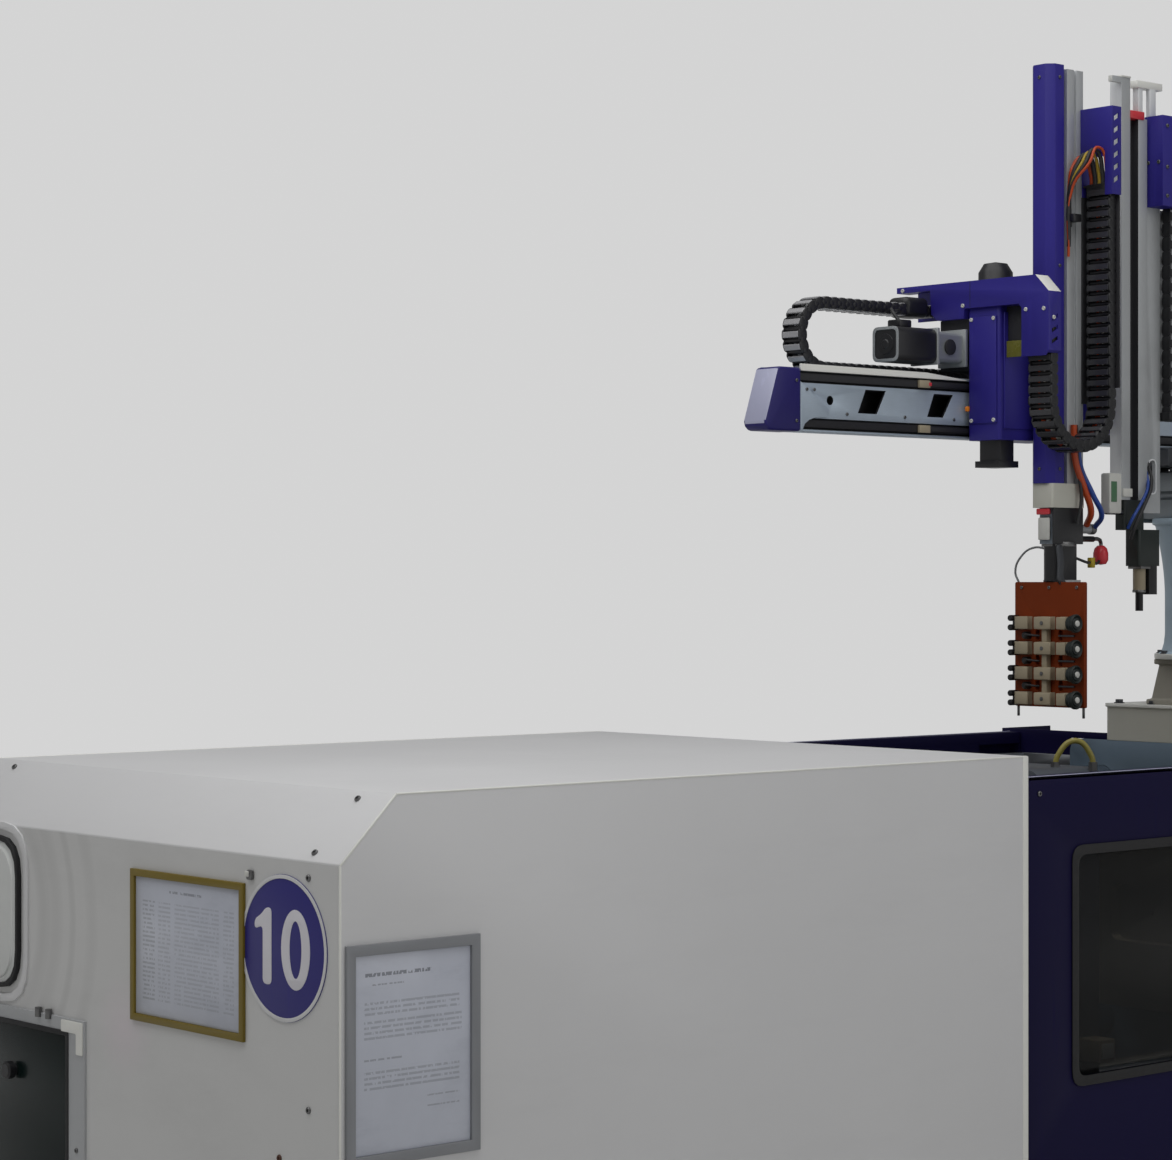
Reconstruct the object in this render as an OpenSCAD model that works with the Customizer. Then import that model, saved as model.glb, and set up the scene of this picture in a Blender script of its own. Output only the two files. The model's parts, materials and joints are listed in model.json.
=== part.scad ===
// Injection moulding machine with a take-out robot on its fixed platen.
// X runs from the clamp end to the injection end, Y away from the operator, Z up from the floor.

/* [Machine] */
// Length from the clamp end panel to the injection end
machine_l = 4800; // [4600:10:5200]
// Width over the side guards
machine_w = 1125; // [1100:5:1250]
// Height of the clamp cover above the floor
cover_top = 1400; // [1390:5:1480]
// Length of the clamp cover
cover_l = 1478; // [1400:2:1500]
// Run of the slanted edge at the end of the clamp cover
slant_run = 100; // [60:5:140]
// Drop of the slanted edge at the end of the clamp cover
slant_drop = 96.5; // [60:0.5:140]
// Thickness of the folded sheet
sheet = 3; // [2:0.5:4]
// Depth of the folded edges of the sheets
fold = 22; // [15:1:24]
// Height of the machined top of the base
base_top = 560; // [520:5:580]
// Clear height under the base
base_clear = 90; // [70:5:120]

/* [Clamp] */
// Height of the mould centre line
axis_z = 1000; // [990:5:1010]
// Side of the square platens
platen = 704; // [680:2:710]
// Distance from the clamp end to the face of the fixed platen
fixed_at = 2690; // [2680:5:2720]
// Thickness of the fixed platen
fixed_t = 180; // [150:5:200]
// Thickness of the moving platen
moving_t = 170; // [140:5:190]
// Thickness of the rear platen
rear_t = 180; // [150:5:200]
// Distance from the clamp end to the rear platen
rear_at = 500; // [480:5:520]
// Opening stroke of the mould
daylight = 400; // [380:5:405]
// Side of the mould
mould = 400; // [360:10:420]
// Thickness of each mould half
mould_t = 180; // [160:5:185]
// Distance of the tie bars from the centre line
tie_offset = 262; // [255:1:275]
// Radius of the tie bars
tie_r = 35; // [30:1:40]
// Radius of the clamp ram
ram_r = 110; // [90:5:115]
// Radius of the clamp cylinder
clamp_cyl_r = 170; // [150:5:190]
// Running clearance round sliding parts
run_clear = 0.3; // [0.2:0.05:0.5]

/* [Doors] */
// Height of the top edge of the front door
door_top = 1360; // [1340:2:1375]
// Thickness of the doors
door_t = 30; // [24:1:32]
// Set-back of the doors behind the side guards
door_inset = 27; // [26:1:30]
// Overlap of the doors behind the clamp cover
door_lap = 30; // [20:2:50]
// Lower edge of the door windows
window_low = 815; // [780:5:840]
// Upper edge of the door windows
window_high = 1222; // [1200:2:1240]

/* [Injection unit] */
// Radius of the barrel
barrel_r = 60; // [50:2:65]
// Length of the barrel in front of the feed block
barrel_l = 770; // [740:5:800]
// Length of the feed block
feed_l = 250; // [220:5:270]
// Radius of the screw
screw_r = 22; // [18:1:24]
// Metering stroke of the screw
screw_stroke = 180; // [150:5:185]
// Upper radius of the hopper
hopper_r = 250; // [220:5:270]
// Height of the hopper's cone
hopper_cone = 320; // [280:5:360]
// Height of the hopper's straight wall
hopper_wall = 260; // [200:5:300]

/* [Robot] */
// Height of the top of the robot's base block
block_top = 1434; // [1430:1:1440]
// Height of the flared foot on the block
riser_h = 100; // [94:2:110]
// Underside of the traverse beam
traverse_low = 1840; // [1830:2:1850]
// Height of the traverse beam
traverse_h = 100; // [90:2:104]
// Reach of the traverse beam on the operator's side
traverse_reach = 1280; // [1250:10:1400]
// Underside of the kick beam
kick_low = 1993; // [1990:1:1998]
// Height of the kick beam
kick_h = 121; // [116:1:125]
// Width of the kick beam
kick_w = 52; // [48:1:60]
// Distance of the kick beam's front face behind the centre line
kick_y = 92; // [88:1:96]
// Length of the slanted cap on the kick beam
cap_l = 96; // [80:2:110]
// Distance from the fixed platen to the middle of the main arm's cover
arm_out = 530; // [526:1:534]
// Centre of the arms in front of the centre line
arm_set = 33; // [30:1:36]
// Lower end of the main arm's cover
arm_low = 1901; // [1890:1:1910]
// Upper end of the main arm's cover
arm_high = 2746; // [2730:1:2780]
// Width of the main arm's cover
arm_w = 55; // [50:1:58]
// Distance from the fixed platen to the middle of the sub arm
sub_out = 308; // [304:1:312]
// Lower end of the sub arm
sub_low = 1871; // [1866:1:1880]
// Upper end of the sub arm
sub_high = 2739; // [2720:1:2770]
// Height of the wrist's pivot
wrist_z = 1630; // [1626:1:1634]
// Width of the gripper plate
plate_w = 180; // [170:2:190]
// Height of the gripper plate
plate_h = 253; // [240:1:260]

/* [Hidden] */
$fn = 64;

// Places along the machine
x_end = -machine_l / 2;
x_tail = machine_l / 2;
x_cover = x_end + cover_l;
x_fixed = x_end + fixed_at;
x_fixed_back = x_fixed + fixed_t;
x_mould_fixed = x_fixed - mould_t;
x_mould_moving = x_mould_fixed - daylight;
x_moving = x_mould_moving - mould_t;
x_moving_back = x_moving - moving_t;
x_rear = x_end + rear_at;
x_rear_face = x_rear + rear_t;

// Places across the machine
y_side = machine_w / 2;
y_door = y_side - door_inset;
y_door_in = y_door - door_t;

// Places above the floor
z_platen_low = axis_z - platen / 2;
z_platen_top = axis_z + platen / 2;
z_slant = cover_top - slant_drop;
rail_h = 40;
z_rail = base_top + rail_h;
door_low = base_top + 50;
z_kick_top = kick_low + kick_h;
z_riser_top = block_top + riser_h;
z_traverse = traverse_low + traverse_h;

// Base
base_w = machine_w - 2 * sheet - 10;
chute_margin = 50;
chute_x0 = x_moving - 40;
chute_x1 = x_fixed - chute_margin;
chute_w = 420;
sill = 40;
side_opening_top = base_top - 90;
foot_plate = [180, 120, 16];
foot_inset = 250;
anchor_offset = 60;
anchor_r = 9;
spindle_r = 12;
foot_y = machine_w / 2 - 110;

// Solids drawn between two places on an axis
module along_x(x0, x1) { translate([x0, 0, 0]) rotate([90, 0, 90]) linear_extrude(x1 - x0) children(); }
module along_y(y0, y1) { translate([0, y1, 0]) rotate([90, 0, 0]) linear_extrude(y1 - y0) children(); }
module along_z(z0, z1) { translate([0, 0, z0]) linear_extrude(z1 - z0) children(); }
module span(x0, x1, y0, y1) { translate([x0, y0]) square([x1 - x0, y1 - y0]); }
module box(x0, x1, y0, y1, z0, z1) { translate([x0, y0, z0]) cube([x1 - x0, y1 - y0, z1 - z0]); }
module rod_x(x0, x1, y, z, r) { along_x(x0, x1) translate([y, z]) circle(r); }
module rod_y(y0, y1, x, z, r) { along_y(y0, y1) translate([x, z]) circle(r); }
module rod_z(z0, z1, x, y, r) { along_z(z0, z1) translate([x, y]) circle(r); }
module at_tie_bars() {
  for (y = [-tie_offset, tie_offset], z = [-tie_offset, tie_offset]) translate([y, axis_z + z]) children();
}
module soft_span(x0, x1, y0, y1, r) {
  span(x0 + r, x1 - r, y0, y1);
  span(x0, x1, y0 + r, y1 - r);
  for (x = [x0 + r, x1 - r], y = [y0 + r, y1 - r]) translate([x, y]) circle(r);
}

// A flat frame drawn round a window
module frame_span(x0, x1, y0, y1, side, top) {
  difference() {
    span(x0, x1, y0, y1);
    span(x0 + side, x1 - side, y0 + top, y1 - top);
  }
}

// Base and its cladding
module base_frame() color([0.30, 0.32, 0.34]) {
  difference() {
    along_x(x_end + 20, x_tail - 20) span(-base_w / 2, base_w / 2, base_clear, base_top);
    box(chute_x0, chute_x1, -chute_w / 2, chute_w / 2, base_clear + sill, base_top + 1);
    box(chute_x0, chute_x1, -machine_w, machine_w, base_clear + sill, side_opening_top);
    for (x = [x_end + foot_inset, 0, x_tail - foot_inset], y = [-foot_y, foot_y])
      rod_z(base_clear - 1, base_clear + sill, x, y, spindle_r + run_clear);
  }
}

module levelling_feet() color([0.16, 0.16, 0.17]) {
  for (x = [x_end + foot_inset, 0, x_tail - foot_inset], y = [-foot_y, foot_y]) {
    out = x == 0 ? 0 : sign(x) * anchor_offset;
    difference() {
      along_z(0, foot_plate.z)
        soft_span(x - foot_plate.x / 2, x + foot_plate.x / 2, y - foot_plate.y / 2,
            y + foot_plate.y / 2, 12);
      if (out != 0) rod_z(-1, foot_plate.z + 1, x + out, y, anchor_r);
    }
    rod_z(foot_plate.z, foot_plate.z + 26, x, y, 40);
    rod_z(foot_plate.z, base_clear + sill - 1, x, y, spindle_r);
    along_z(base_clear - 18, base_clear) translate([x, y]) circle(22, $fn = 6);
  }
}

panel_low = base_clear + 10;
panel_high = base_top - 6;
louvre_w = 260;
louvre_pitch = 26;
louvre_h = 10;
module base_panel(x0, x1, side, louvres) {
  y0 = side < 0 ? -y_side : base_w / 2;
  y1 = side < 0 ? -base_w / 2 : y_side;
  along_y(y0, y1) difference() {
    soft_span(x0, x1, panel_low, panel_high, 8);
    if (louvres) for (i = [0:5])
      soft_span((x0 + x1 - louvre_w) / 2, (x0 + x1 + louvre_w) / 2, panel_low + 220 + i * louvre_pitch,
        panel_low + 220 + i * louvre_pitch + louvre_h, louvre_h / 2 - 0.1);
  }
}
module base_panels() color([0.80, 0.81, 0.82]) {
  joint_gap = 6;
  left = [x_end, (x_end + chute_x0) / 2, chute_x0];
  right = [chute_x1, (chute_x1 + x_tail) / 2, x_tail];
  for (edges = [left, right], i = [0:1], side = [-1, 1])
    base_panel(edges[i] + joint_gap, edges[i + 1] - joint_gap, side, i == 0);
}

shoe_y = 250;
rail_w = 60;
module bed_rails() color([0.62, 0.64, 0.66]) {
  for (y = [-shoe_y, shoe_y]) along_x(x_rear_face + 10, x_fixed - 20) translate([y, base_top])
      rail_profile();
  for (y = [-unit_rail_y, unit_rail_y]) along_x(x_fixed_back + 30, x_tail - 60)
    translate([y, base_top]) rail_profile();
}
module rail_profile() {
  difference() {
    span(-rail_w / 2, rail_w / 2, 0, rail_h);
    for (s = [-1, 1]) translate([s * rail_w / 2, rail_h * 0.55]) circle(7);
  }
}

// Clamp cover
cover_inner = y_side - sheet;
module cover_outline() {
  polygon([[x_end, base_top], [x_end, z_slant], [x_end + slant_run, cover_top], [x_cover, cover_top],
    [x_cover, base_top]]);
}
module top_cover() color([0.86, 0.87, 0.88]) {
  along_y(-cover_inner, cover_inner) {
    polygon([[x_end, z_slant], [x_end + slant_run, cover_top], [x_cover, cover_top],
      [x_cover, cover_top - fold], [x_cover - sheet, cover_top - fold], [x_cover - sheet,
          cover_top - sheet],
      [x_end + slant_run + sheet * 0.4, cover_top - sheet], [x_end + sheet, z_slant - sheet * 0.1],
      [x_end + sheet, z_slant - fold], [x_end, z_slant - fold]]);
  }
}
module side_sheet(side) {
  y_out = side * y_side;
  y_in = side * cover_inner;
  y_fold = side * (y_side - fold);
  along_y(min(y_out, y_in), max(y_out, y_in)) cover_outline();
  box(x_cover - sheet, x_cover, min(y_in, y_fold), max(y_in, y_fold), base_top, cover_top - fold - 1);
  box(x_end + sheet, x_cover - sheet, min(y_in, y_fold), max(y_in, y_fold), base_top, base_top + sheet);
}
module side_panel_front() color([0.84, 0.85, 0.86]) side_sheet(-1);
module side_panel_rear() color([0.84, 0.85, 0.86]) side_sheet(1);

// End panel, its hatch, its window and the notices
hatch = [320, 520, 1041, 1279];
hatch_r = 60;
window = [113, 513, 607, 1007];
window_side = 48;
window_edge = 22;
end_notice = [-329.5, -22.5, 1026, 1260];
end_notice_w = 11;
side_notice = [8, 251, 871, 1188];
side_notice_w = 16;
notice_t = 6;
plate_y = -427.5;
plate_z = 1173.5;
plate_r = 107;
plate_t = 2;
module end_panel() color([0.82, 0.83, 0.84]) {
  along_x(x_end, x_end + sheet) difference() {
    span(-cover_inner, cover_inner, base_top, z_slant - fold);
    span(window[0] + window_side - 8, window[1] - window_side + 8, window[2] + window_edge - 8,
        window[3] - window_edge + 8);
    soft_span(hatch[0] + 12, hatch[1] - 12, hatch[2] + 12, hatch[3] - 12, hatch_r - 12);
  }
}
module end_hatch() color([0.70, 0.71, 0.72]) {
  along_x(x_end - 7, x_end) soft_span(hatch[0], hatch[1], hatch[2], hatch[3], hatch_r);
  along_x(x_end - 13, x_end - 7) soft_span(hatch[0] + 9, hatch[1] - 9, hatch[2] + 9, hatch[3] - 9,
      hatch_r - 9);
}
module end_window_frame() color([0.72, 0.73, 0.74]) {
  along_x(x_end - 5, x_end) frame_span(window[0], window[1], window[2], window[3], window_side,
      window_edge);
}
module end_window_pane() color([0.08, 0.10, 0.10, 0.7]) {
  along_x(x_end, x_end + sheet)
    span(window[0] + window_side - 8, window[1] - window_side + 8, window[2] + window_edge - 8,
        window[3] - window_edge + 8);
}
module side_notice_frame() color([0.55, 0.55, 0.56]) {
  along_y(-y_side - notice_t, -y_side)
    frame_span(x_end + side_notice[0], x_end + side_notice[1], side_notice[2], side_notice[3],
        side_notice_w, side_notice_w);
}
module end_notice_frame() color([0.48, 0.42, 0.14]) {
  along_x(x_end - notice_t, x_end)
    frame_span(end_notice[0], end_notice[1], end_notice[2], end_notice[3], end_notice_w, end_notice_w);
}
module notice_sheets() color([0.92, 0.92, 0.90]) {
  along_y(-y_side - notice_t / 3, -y_side)
    span(x_end + side_notice[0] + side_notice_w, x_end + side_notice[1] - side_notice_w,
      side_notice[2] + side_notice_w, side_notice[3] - side_notice_w);
  along_x(x_end - notice_t / 3, x_end)
    span(end_notice[0] + end_notice_w, end_notice[1] - end_notice_w, end_notice[2] + end_notice_w,
        end_notice[3] - end_notice_w);
}
module number_plate() color([0.12, 0.14, 0.45]) {
  along_x(x_end - plate_t, x_end) difference() {
    translate([plate_y, plate_z]) circle(plate_r);
    span(end_notice[0], plate_y + plate_r + 1, end_notice[2], end_notice[3]);
  }
}

// Platens, tie bars and the clamp cylinder
module platen_outline() {
  difference() {
    soft_span(-platen / 2, platen / 2, z_platen_low, z_platen_top, 30);
    at_tie_bars() circle(tie_r + run_clear);
  }
}
mould_bolt = 280;
mould_bolt_r = 8;
nozzle_bore = 70;
ejector_y = 120;
ejector_r = 12;
module platen_feet(x0, x1) {
  for (y = [-1, 1]) box(x0 + 10, x1 - 10, y * 240 - 90, y * 240 + 90, base_top, z_platen_low + 1);
}
module fixed_platen() color([0.56, 0.64, 0.72]) {
  difference() {
    along_x(x_fixed, x_fixed_back) platen_outline();
    rod_x(x_fixed - 1, x_fixed_back + 1, 0, axis_z, nozzle_bore);
    translate([x_fixed + 40, 0, axis_z]) rotate([0, 90, 0]) cylinder(h = fixed_t, r1 = nozzle_bore,
        r2 = nozzle_bore + 80);
    for (y = [-mould_bolt, mould_bolt], z = [-mould_bolt / 2, mould_bolt / 2])
      rod_x(x_fixed - 1, x_fixed + 50, y, axis_z + z, mould_bolt_r);
  }
  platen_feet(x_fixed, x_fixed_back);
}
module rear_platen() color([0.50, 0.54, 0.58]) {
  difference() {
    along_x(x_rear, x_rear_face) platen_outline();
    rod_x(x_rear - 1, x_rear_face + 1, 0, axis_z, ram_r + run_clear);
  }
  platen_feet(x_rear, x_rear_face);
}
nut_t = 60;
module tie_bars() color([0.75, 0.76, 0.78]) along_x(x_rear - nut_t - 10, x_fixed_back + nut_t + 10)
    at_tie_bars() circle(tie_r);
module tie_bar_nuts() color([0.35, 0.36, 0.38]) {
  for (x = [x_rear - nut_t, x_fixed_back]) along_x(x, x + nut_t) at_tie_bars() difference() {
    circle(tie_r + 26);
    circle(tie_r);
  }
}
cylinder_back = x_end + 60;
module clamp_cylinder() color([0.30, 0.33, 0.36]) {
  difference() {
    union() {
      rod_x(cylinder_back, x_rear, 0, axis_z, clamp_cyl_r);
      rod_x(x_rear - 40, x_rear, 0, axis_z, clamp_cyl_r + 40);
      rod_x(cylinder_back, cylinder_back + 45, 0, axis_z, clamp_cyl_r + 25);
    }
    rod_x(cylinder_back + 45, x_rear + 1, 0, axis_z, ram_r + run_clear);
    for (a = [22.5:45:359]) translate([0, 0, axis_z]) rotate([a, 0, 0])
      rod_x(x_rear - 41, x_rear - 12, 0, clamp_cyl_r + 20, 9);
  }
}
module clamp_ram() color([0.80, 0.81, 0.82]) rod_x(x_rear - 300, x_moving_back, 0, axis_z, ram_r);

module moving_platen() color([0.50, 0.54, 0.58]) {
  difference() {
    along_x(x_moving_back, x_moving) platen_outline();
    for (y = [-ejector_y, ejector_y], z = [-ejector_y, ejector_y])
      rod_x(x_moving_back - 1, x_moving + 1, y, axis_z + z, ejector_r + run_clear);
    for (y = [-1, 1], z = [-1, 1]) along_x(x_moving_back - 1, x_moving_back + 70)
      soft_span(y * 190 - 40, y * 190 + 40, axis_z + z * 200 - 30, axis_z + z * 200 + 30, 18);
    for (y = [-mould_bolt, mould_bolt], z = [-mould_bolt / 2, mould_bolt / 2])
      rod_x(x_moving - 50, x_moving + 1, y, axis_z + z, mould_bolt_r);
  }
  for (y = [-shoe_y, shoe_y])
    box(x_moving_back + 10, x_moving - 45, y - rail_w / 2, y + rail_w / 2, z_rail + run_clear,
        z_platen_low + 1);
}
pin_r = 14;
pin_at = 160;
pin_l = 70;
core_h = 8;
module mould_outline() soft_span(-mould / 2, mould / 2, axis_z - mould / 2, axis_z + mould / 2, 6);
module at_pins() { for (y = [-pin_at, pin_at], z = [-pin_at, pin_at]) translate([y, axis_z + z])
    children(); }
module mould_fixed_half() color([0.62, 0.60, 0.54]) {
  difference() {
    union() {
      along_x(x_mould_fixed, x_fixed) mould_outline();
      along_x(x_fixed - 32, x_fixed) span(-mould / 2 - 40, mould / 2 + 40, axis_z - mould / 2 + 20,
          axis_z + mould / 2 - 20);
    }
    rod_x(x_mould_fixed - 1, x_fixed + 1, 0, axis_z, 4);
    translate([x_fixed - 30, 0, axis_z]) rotate([0, 90, 0]) cylinder(h = 31, r1 = 14, r2 = 30);
    along_x(x_mould_fixed - 1, x_mould_fixed + 25) soft_span(-90, 90, axis_z - 60, axis_z + 60, 20);
  }
  along_x(x_mould_fixed - pin_l, x_mould_fixed) at_pins() circle(pin_r);
}
module mould_moving_half() color([0.62, 0.60, 0.54]) {
  difference() {
    union() {
      along_x(x_moving, x_mould_moving) mould_outline();
      along_x(x_moving, x_moving + 32) span(-mould / 2 - 40, mould / 2 + 40, axis_z - mould / 2 + 20,
          axis_z + mould / 2 - 20);
    }
    along_x(x_mould_moving - pin_l - 10, x_mould_moving + 1) at_pins() circle(pin_r + run_clear);
    for (y = [-ejector_y, ejector_y], z = [-ejector_y, ejector_y])
      rod_x(x_moving - 1, x_moving + 100, y, axis_z + z, ejector_r + run_clear);
  }
  along_x(x_mould_moving, x_mould_moving + core_h) soft_span(-84, 84, axis_z - 54, axis_z + 54, 16);
}
module ejector_plate() color([0.66, 0.67, 0.69]) {
  ejector_gap = 95;
  along_x(x_moving_back - ejector_gap - 25, x_moving_back - ejector_gap) difference() {
    soft_span(-170, 170, axis_z - 170, axis_z + 170, 25);
    translate([0, axis_z]) circle(ram_r + 6);
  }
  for (y = [-ejector_y, ejector_y], z = [-ejector_y, ejector_y])
    rod_x(x_moving_back - ejector_gap, x_moving - 4, y, axis_z + z, ejector_r);
}

// Sliding doors
door_x0 = x_cover - door_lap;
door_x1 = x_fixed + 10;
door_bar = 160;
handle_low = 930;
handle_high = 1130;
return_top = 1367;
door_window_x0 = x_end + 1640;
door_window_x1 = door_x1 - door_bar;
module door_sheet(side) {
  y0 = side < 0 ? -y_door : y_door_in;
  y1 = side < 0 ? -y_door_in : y_door;
  difference() {
    along_y(y0, y1) difference() {
      soft_span(door_x0, door_x1, door_low, door_top, 4);
      soft_span(door_window_x0, door_window_x1, window_low, window_high, 40);
    }
    box(door_x0 + sheet, door_window_x0 - 20, side < 0 ? y0 + sheet : y0 - 1,
        side < 0 ? y1 + 1 : y1 - sheet,
      door_low + 25, door_top - 25);
    box(door_window_x1 + 20, door_x1 - sheet, side < 0 ? y0 + sheet : y0 - 1,
        side < 0 ? y1 + 1 : y1 - sheet,
      door_low + 25, door_top - 25);
  }
  handle_x = door_x1 - 90;
  y_grip = side * (y_door + 38);
  for (z = [handle_low + 10, handle_high - 10]) rod_y(min(side * y_door, y_grip), max(side * y_door,
      y_grip), handle_x, z, 10);
  rod_z(handle_low, handle_high, handle_x, y_grip, 12);
}
module door_pane(side) {
  y_mid = side * (y_door + y_door_in) / 2;
  along_y(y_mid - 3, y_mid + 3) soft_span(door_window_x0, door_window_x1, window_low, window_high, 40);
}
module front_door() color([0.11, 0.10, 0.24]) door_sheet(-1);
module rear_door() color([0.11, 0.10, 0.24]) door_sheet(1);
module front_door_window() color([0.10, 0.13, 0.12, 0.6]) door_pane(-1);
module rear_door_window() color([0.10, 0.13, 0.12, 0.6]) door_pane(1);
rail_x0 = x_end + 40;
module door_rails() color([0.66, 0.67, 0.69]) {
  for (side = [-1, 1]) {
    y_out = side * (y_door - 2);
    y_in = side * (y_door_in + 2);
    box(rail_x0, door_x1, min(y_out, y_in), max(y_out, y_in), base_top, door_low - 0.4);
    g0 = side * (y_door_in - 0.4);
    g1 = side * (y_door_in - 18);
    along_x(rail_x0, door_x1) span(min(g0, g1), max(g0, g1), door_top - 70, door_top - 46);
    h1 = side * platen / 2;
    for (x = [x_rear + 60, x_fixed]) box(x, x + 9, min(h1, g1), max(h1, g1), door_top - 70, door_top - 46);
  }
}
module rear_return_guard() color([0.80, 0.81, 0.82]) {
  box(door_x1 + 3, door_x1 + 3 + sheet, 250, y_side, z_platen_top, return_top);
  box(door_x1 + 3, door_x1 + 3 + sheet, 360, y_side, base_top, z_platen_top);
  box(door_x1 + 3, x_fixed_back, y_side - sheet, y_side, base_top, return_top);
}

// Injection unit
unit_rail_y = 220;
nozzle_tip = x_fixed - 26;
x_barrel = x_fixed_back + 20;
x_feed = x_barrel + barrel_l;
x_feed_back = x_feed + feed_l;
x_drive = x_feed_back + screw_stroke + 60;
drive_t = 120;
injection_cyl_y = 210;
injection_cyl_r = 62;
rear_plate_t = 60;
drive_motor_r = 80;
x_rear_plate = x_drive + drive_t + screw_stroke + 20;
feed_w = 330;
feed_h = 360;
barrel_bore = screw_r + 0.5;
module injection_carriage() color([0.52, 0.56, 0.60]) {
  difference() {
    union() {
      along_x(x_feed, x_feed_back) soft_span(-feed_w / 2, feed_w / 2, axis_z - feed_h / 2,
          axis_z + feed_h / 2, 20);
      along_x(x_feed_back - 60, x_feed_back) soft_span(-290, 290, axis_z - 90, axis_z + 90, 40);
      along_x(x_rear_plate, x_rear_plate + rear_plate_t) soft_span(-290, 290, axis_z - 130,
          axis_z + 130, 50);
      for (y = [-1, 1]) along_y(y * unit_rail_y - 35, y * unit_rail_y + 35)
        polygon([[x_feed, z_rail + run_clear], [x_rear_plate + rear_plate_t, z_rail + run_clear],
          [x_rear_plate + rear_plate_t, axis_z - 80], [x_rear_plate, axis_z - 80], [x_rear_plate - 60,
              z_rail + 90],
          [x_feed_back + 60, z_rail + 90], [x_feed_back, axis_z - 80], [x_feed, axis_z - 80]]);
    }
    rod_x(x_feed - 1, x_feed_back + 1, 0, axis_z, barrel_r);
    rod_x(x_rear_plate - 1, x_rear_plate + rear_plate_t + 1, 0, axis_z, drive_motor_r + 14);
    rod_z(axis_z, axis_z + feed_h, x_feed + feed_l / 2, 0, 40);
    for (y = [-injection_cyl_y, injection_cyl_y]) {
      rod_x(x_feed_back - 61, x_feed_back + 1, y, axis_z, 30);
      rod_x(x_rear_plate - 1, x_rear_plate + rear_plate_t + 1, y, axis_z, 30);
    }
  }
  for (y = [-injection_cyl_y, injection_cyl_y])
    rod_x(x_feed_back - 60, x_rear_plate + rear_plate_t + 15, y, axis_z, 30);
}
module barrel() color([0.45, 0.44, 0.43]) {
  difference() {
    union() {
      rod_x(x_barrel, x_feed_back, 0, axis_z, barrel_r);
      rod_x(x_barrel - 40, x_barrel, 0, axis_z, 45);
      rod_x(nozzle_tip + 30, x_barrel - 40, 0, axis_z, 24);
      translate([nozzle_tip, 0, axis_z]) rotate([0, 90, 0]) cylinder(h = 30, r1 = 9, r2 = 24);
    }
    rod_x(x_barrel - 20, x_feed_back + 1, 0, axis_z, barrel_bore);
    rod_x(nozzle_tip - 1, x_barrel, 0, axis_z, 3);
    rod_z(axis_z, axis_z + barrel_r + 1, x_feed + feed_l / 2, 0, 25);
  }
}
band_n = 6;
band_l = 95;
module heater_bands() color([0.70, 0.68, 0.62]) {
  pitch = (barrel_l - 60) / band_n;
  for (i = [0:band_n - 1]) {
    x = x_barrel + 30 + i * pitch;
    difference() {
      union() {
        rod_x(x, x + band_l, 0, axis_z, barrel_r + 14);
        box(x + 20, x + 60, -30, 30, axis_z + barrel_r + 8, axis_z + barrel_r + 46);
      }
      rod_x(x - 1, x + band_l + 1, 0, axis_z, barrel_r);
    }
  }
}
module barrel_guard() color([0.78, 0.79, 0.80]) {
  g = 130;
  along_x(x_fixed_back + 24, x_feed) difference() {
    soft_span(-g, g, axis_z - 90, axis_z + g, 30);
    soft_span(-g + sheet, g - sheet, axis_z - 140, axis_z + g - sheet, 28);
    span(-g - 1, g + 1, axis_z - 141, axis_z - 89);
  }
  along_x(x_feed - 20, x_feed) difference() {
    soft_span(-g, g, axis_z - 90, axis_z + g, 30);
    translate([0, axis_z]) circle(barrel_r + 20);
  }
}
hopper_low = axis_z + feed_h / 2;
hopper_x = x_feed + feed_l / 2;
throat_h = 90;
gate_z = hopper_low + 50;
gate_t = 8;
z_cone = hopper_low + throat_h;
z_wall = z_cone + hopper_cone;
z_hopper = z_wall + hopper_wall;
throat_r = 40;
hopper_t = 3;
module hopper() color([0.72, 0.73, 0.75]) {
  translate([hopper_x, 0, 0]) difference() {
    union() {
      along_z(hopper_low, z_cone) soft_span(-80, 80, -80, 80, 10);
      rotate_extrude($fn = 64) polygon([[0, z_cone - 12], [100, z_cone - 12], [100, z_cone],
          [throat_r + hopper_t + 3, z_cone],
        [hopper_r, z_wall], [hopper_r, z_hopper - 12], [hopper_r + 14, z_hopper - 12], [hopper_r + 14,
            z_hopper], [0, z_hopper]]);
    }
    rotate_extrude($fn = 64) polygon([[0, hopper_low - 1], [throat_r, hopper_low - 1], [throat_r, z_cone],
      [hopper_r - hopper_t, z_wall], [hopper_r - hopper_t, z_hopper + 1], [0, z_hopper + 1]]);
    box(-81, 60, -55, 55, gate_z, gate_z + gate_t);
  }
  box(hopper_x - 40, hopper_x + 40, hopper_r + 4, hopper_r + 40, z_hopper - 12, z_hopper);
  for (x = [-40, 26]) translate([hopper_x + x, 0, 0]) along_x(0, 14) difference() {
    union() {
      span(hopper_r + 20, hopper_r + 40, z_hopper - 6, z_hopper + 12);
      translate([hopper_r + 30, z_hopper + 12]) circle(10);
    }
    translate([hopper_r + 30, z_hopper + 12]) circle(4);
  }
}
module hopper_lid() color([0.60, 0.61, 0.63]) {
  translate([hopper_x, 0, 0]) {
    rotate_extrude($fn = 64) polygon([[0, z_hopper + 0.3], [hopper_r + 16, z_hopper + 0.3],
        [hopper_r + 10, z_hopper + 12],
      [60, z_hopper + 34], [0, z_hopper + 34]]);
    along_x(-25, 25) span(hopper_r - 4, hopper_r + 30, z_hopper + 8, z_hopper + 16);
    rod_x(-25, 25, hopper_r + 30, z_hopper + 12, 8);
    rod_x(-42, 42, hopper_r + 30, z_hopper + 12, 3.8);
    rod_z(z_hopper + 33, z_hopper + 60, 0, 0, 10);
    translate([0, 0, z_hopper + 66]) sphere(16, $fn = 32);
  }
}
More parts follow.
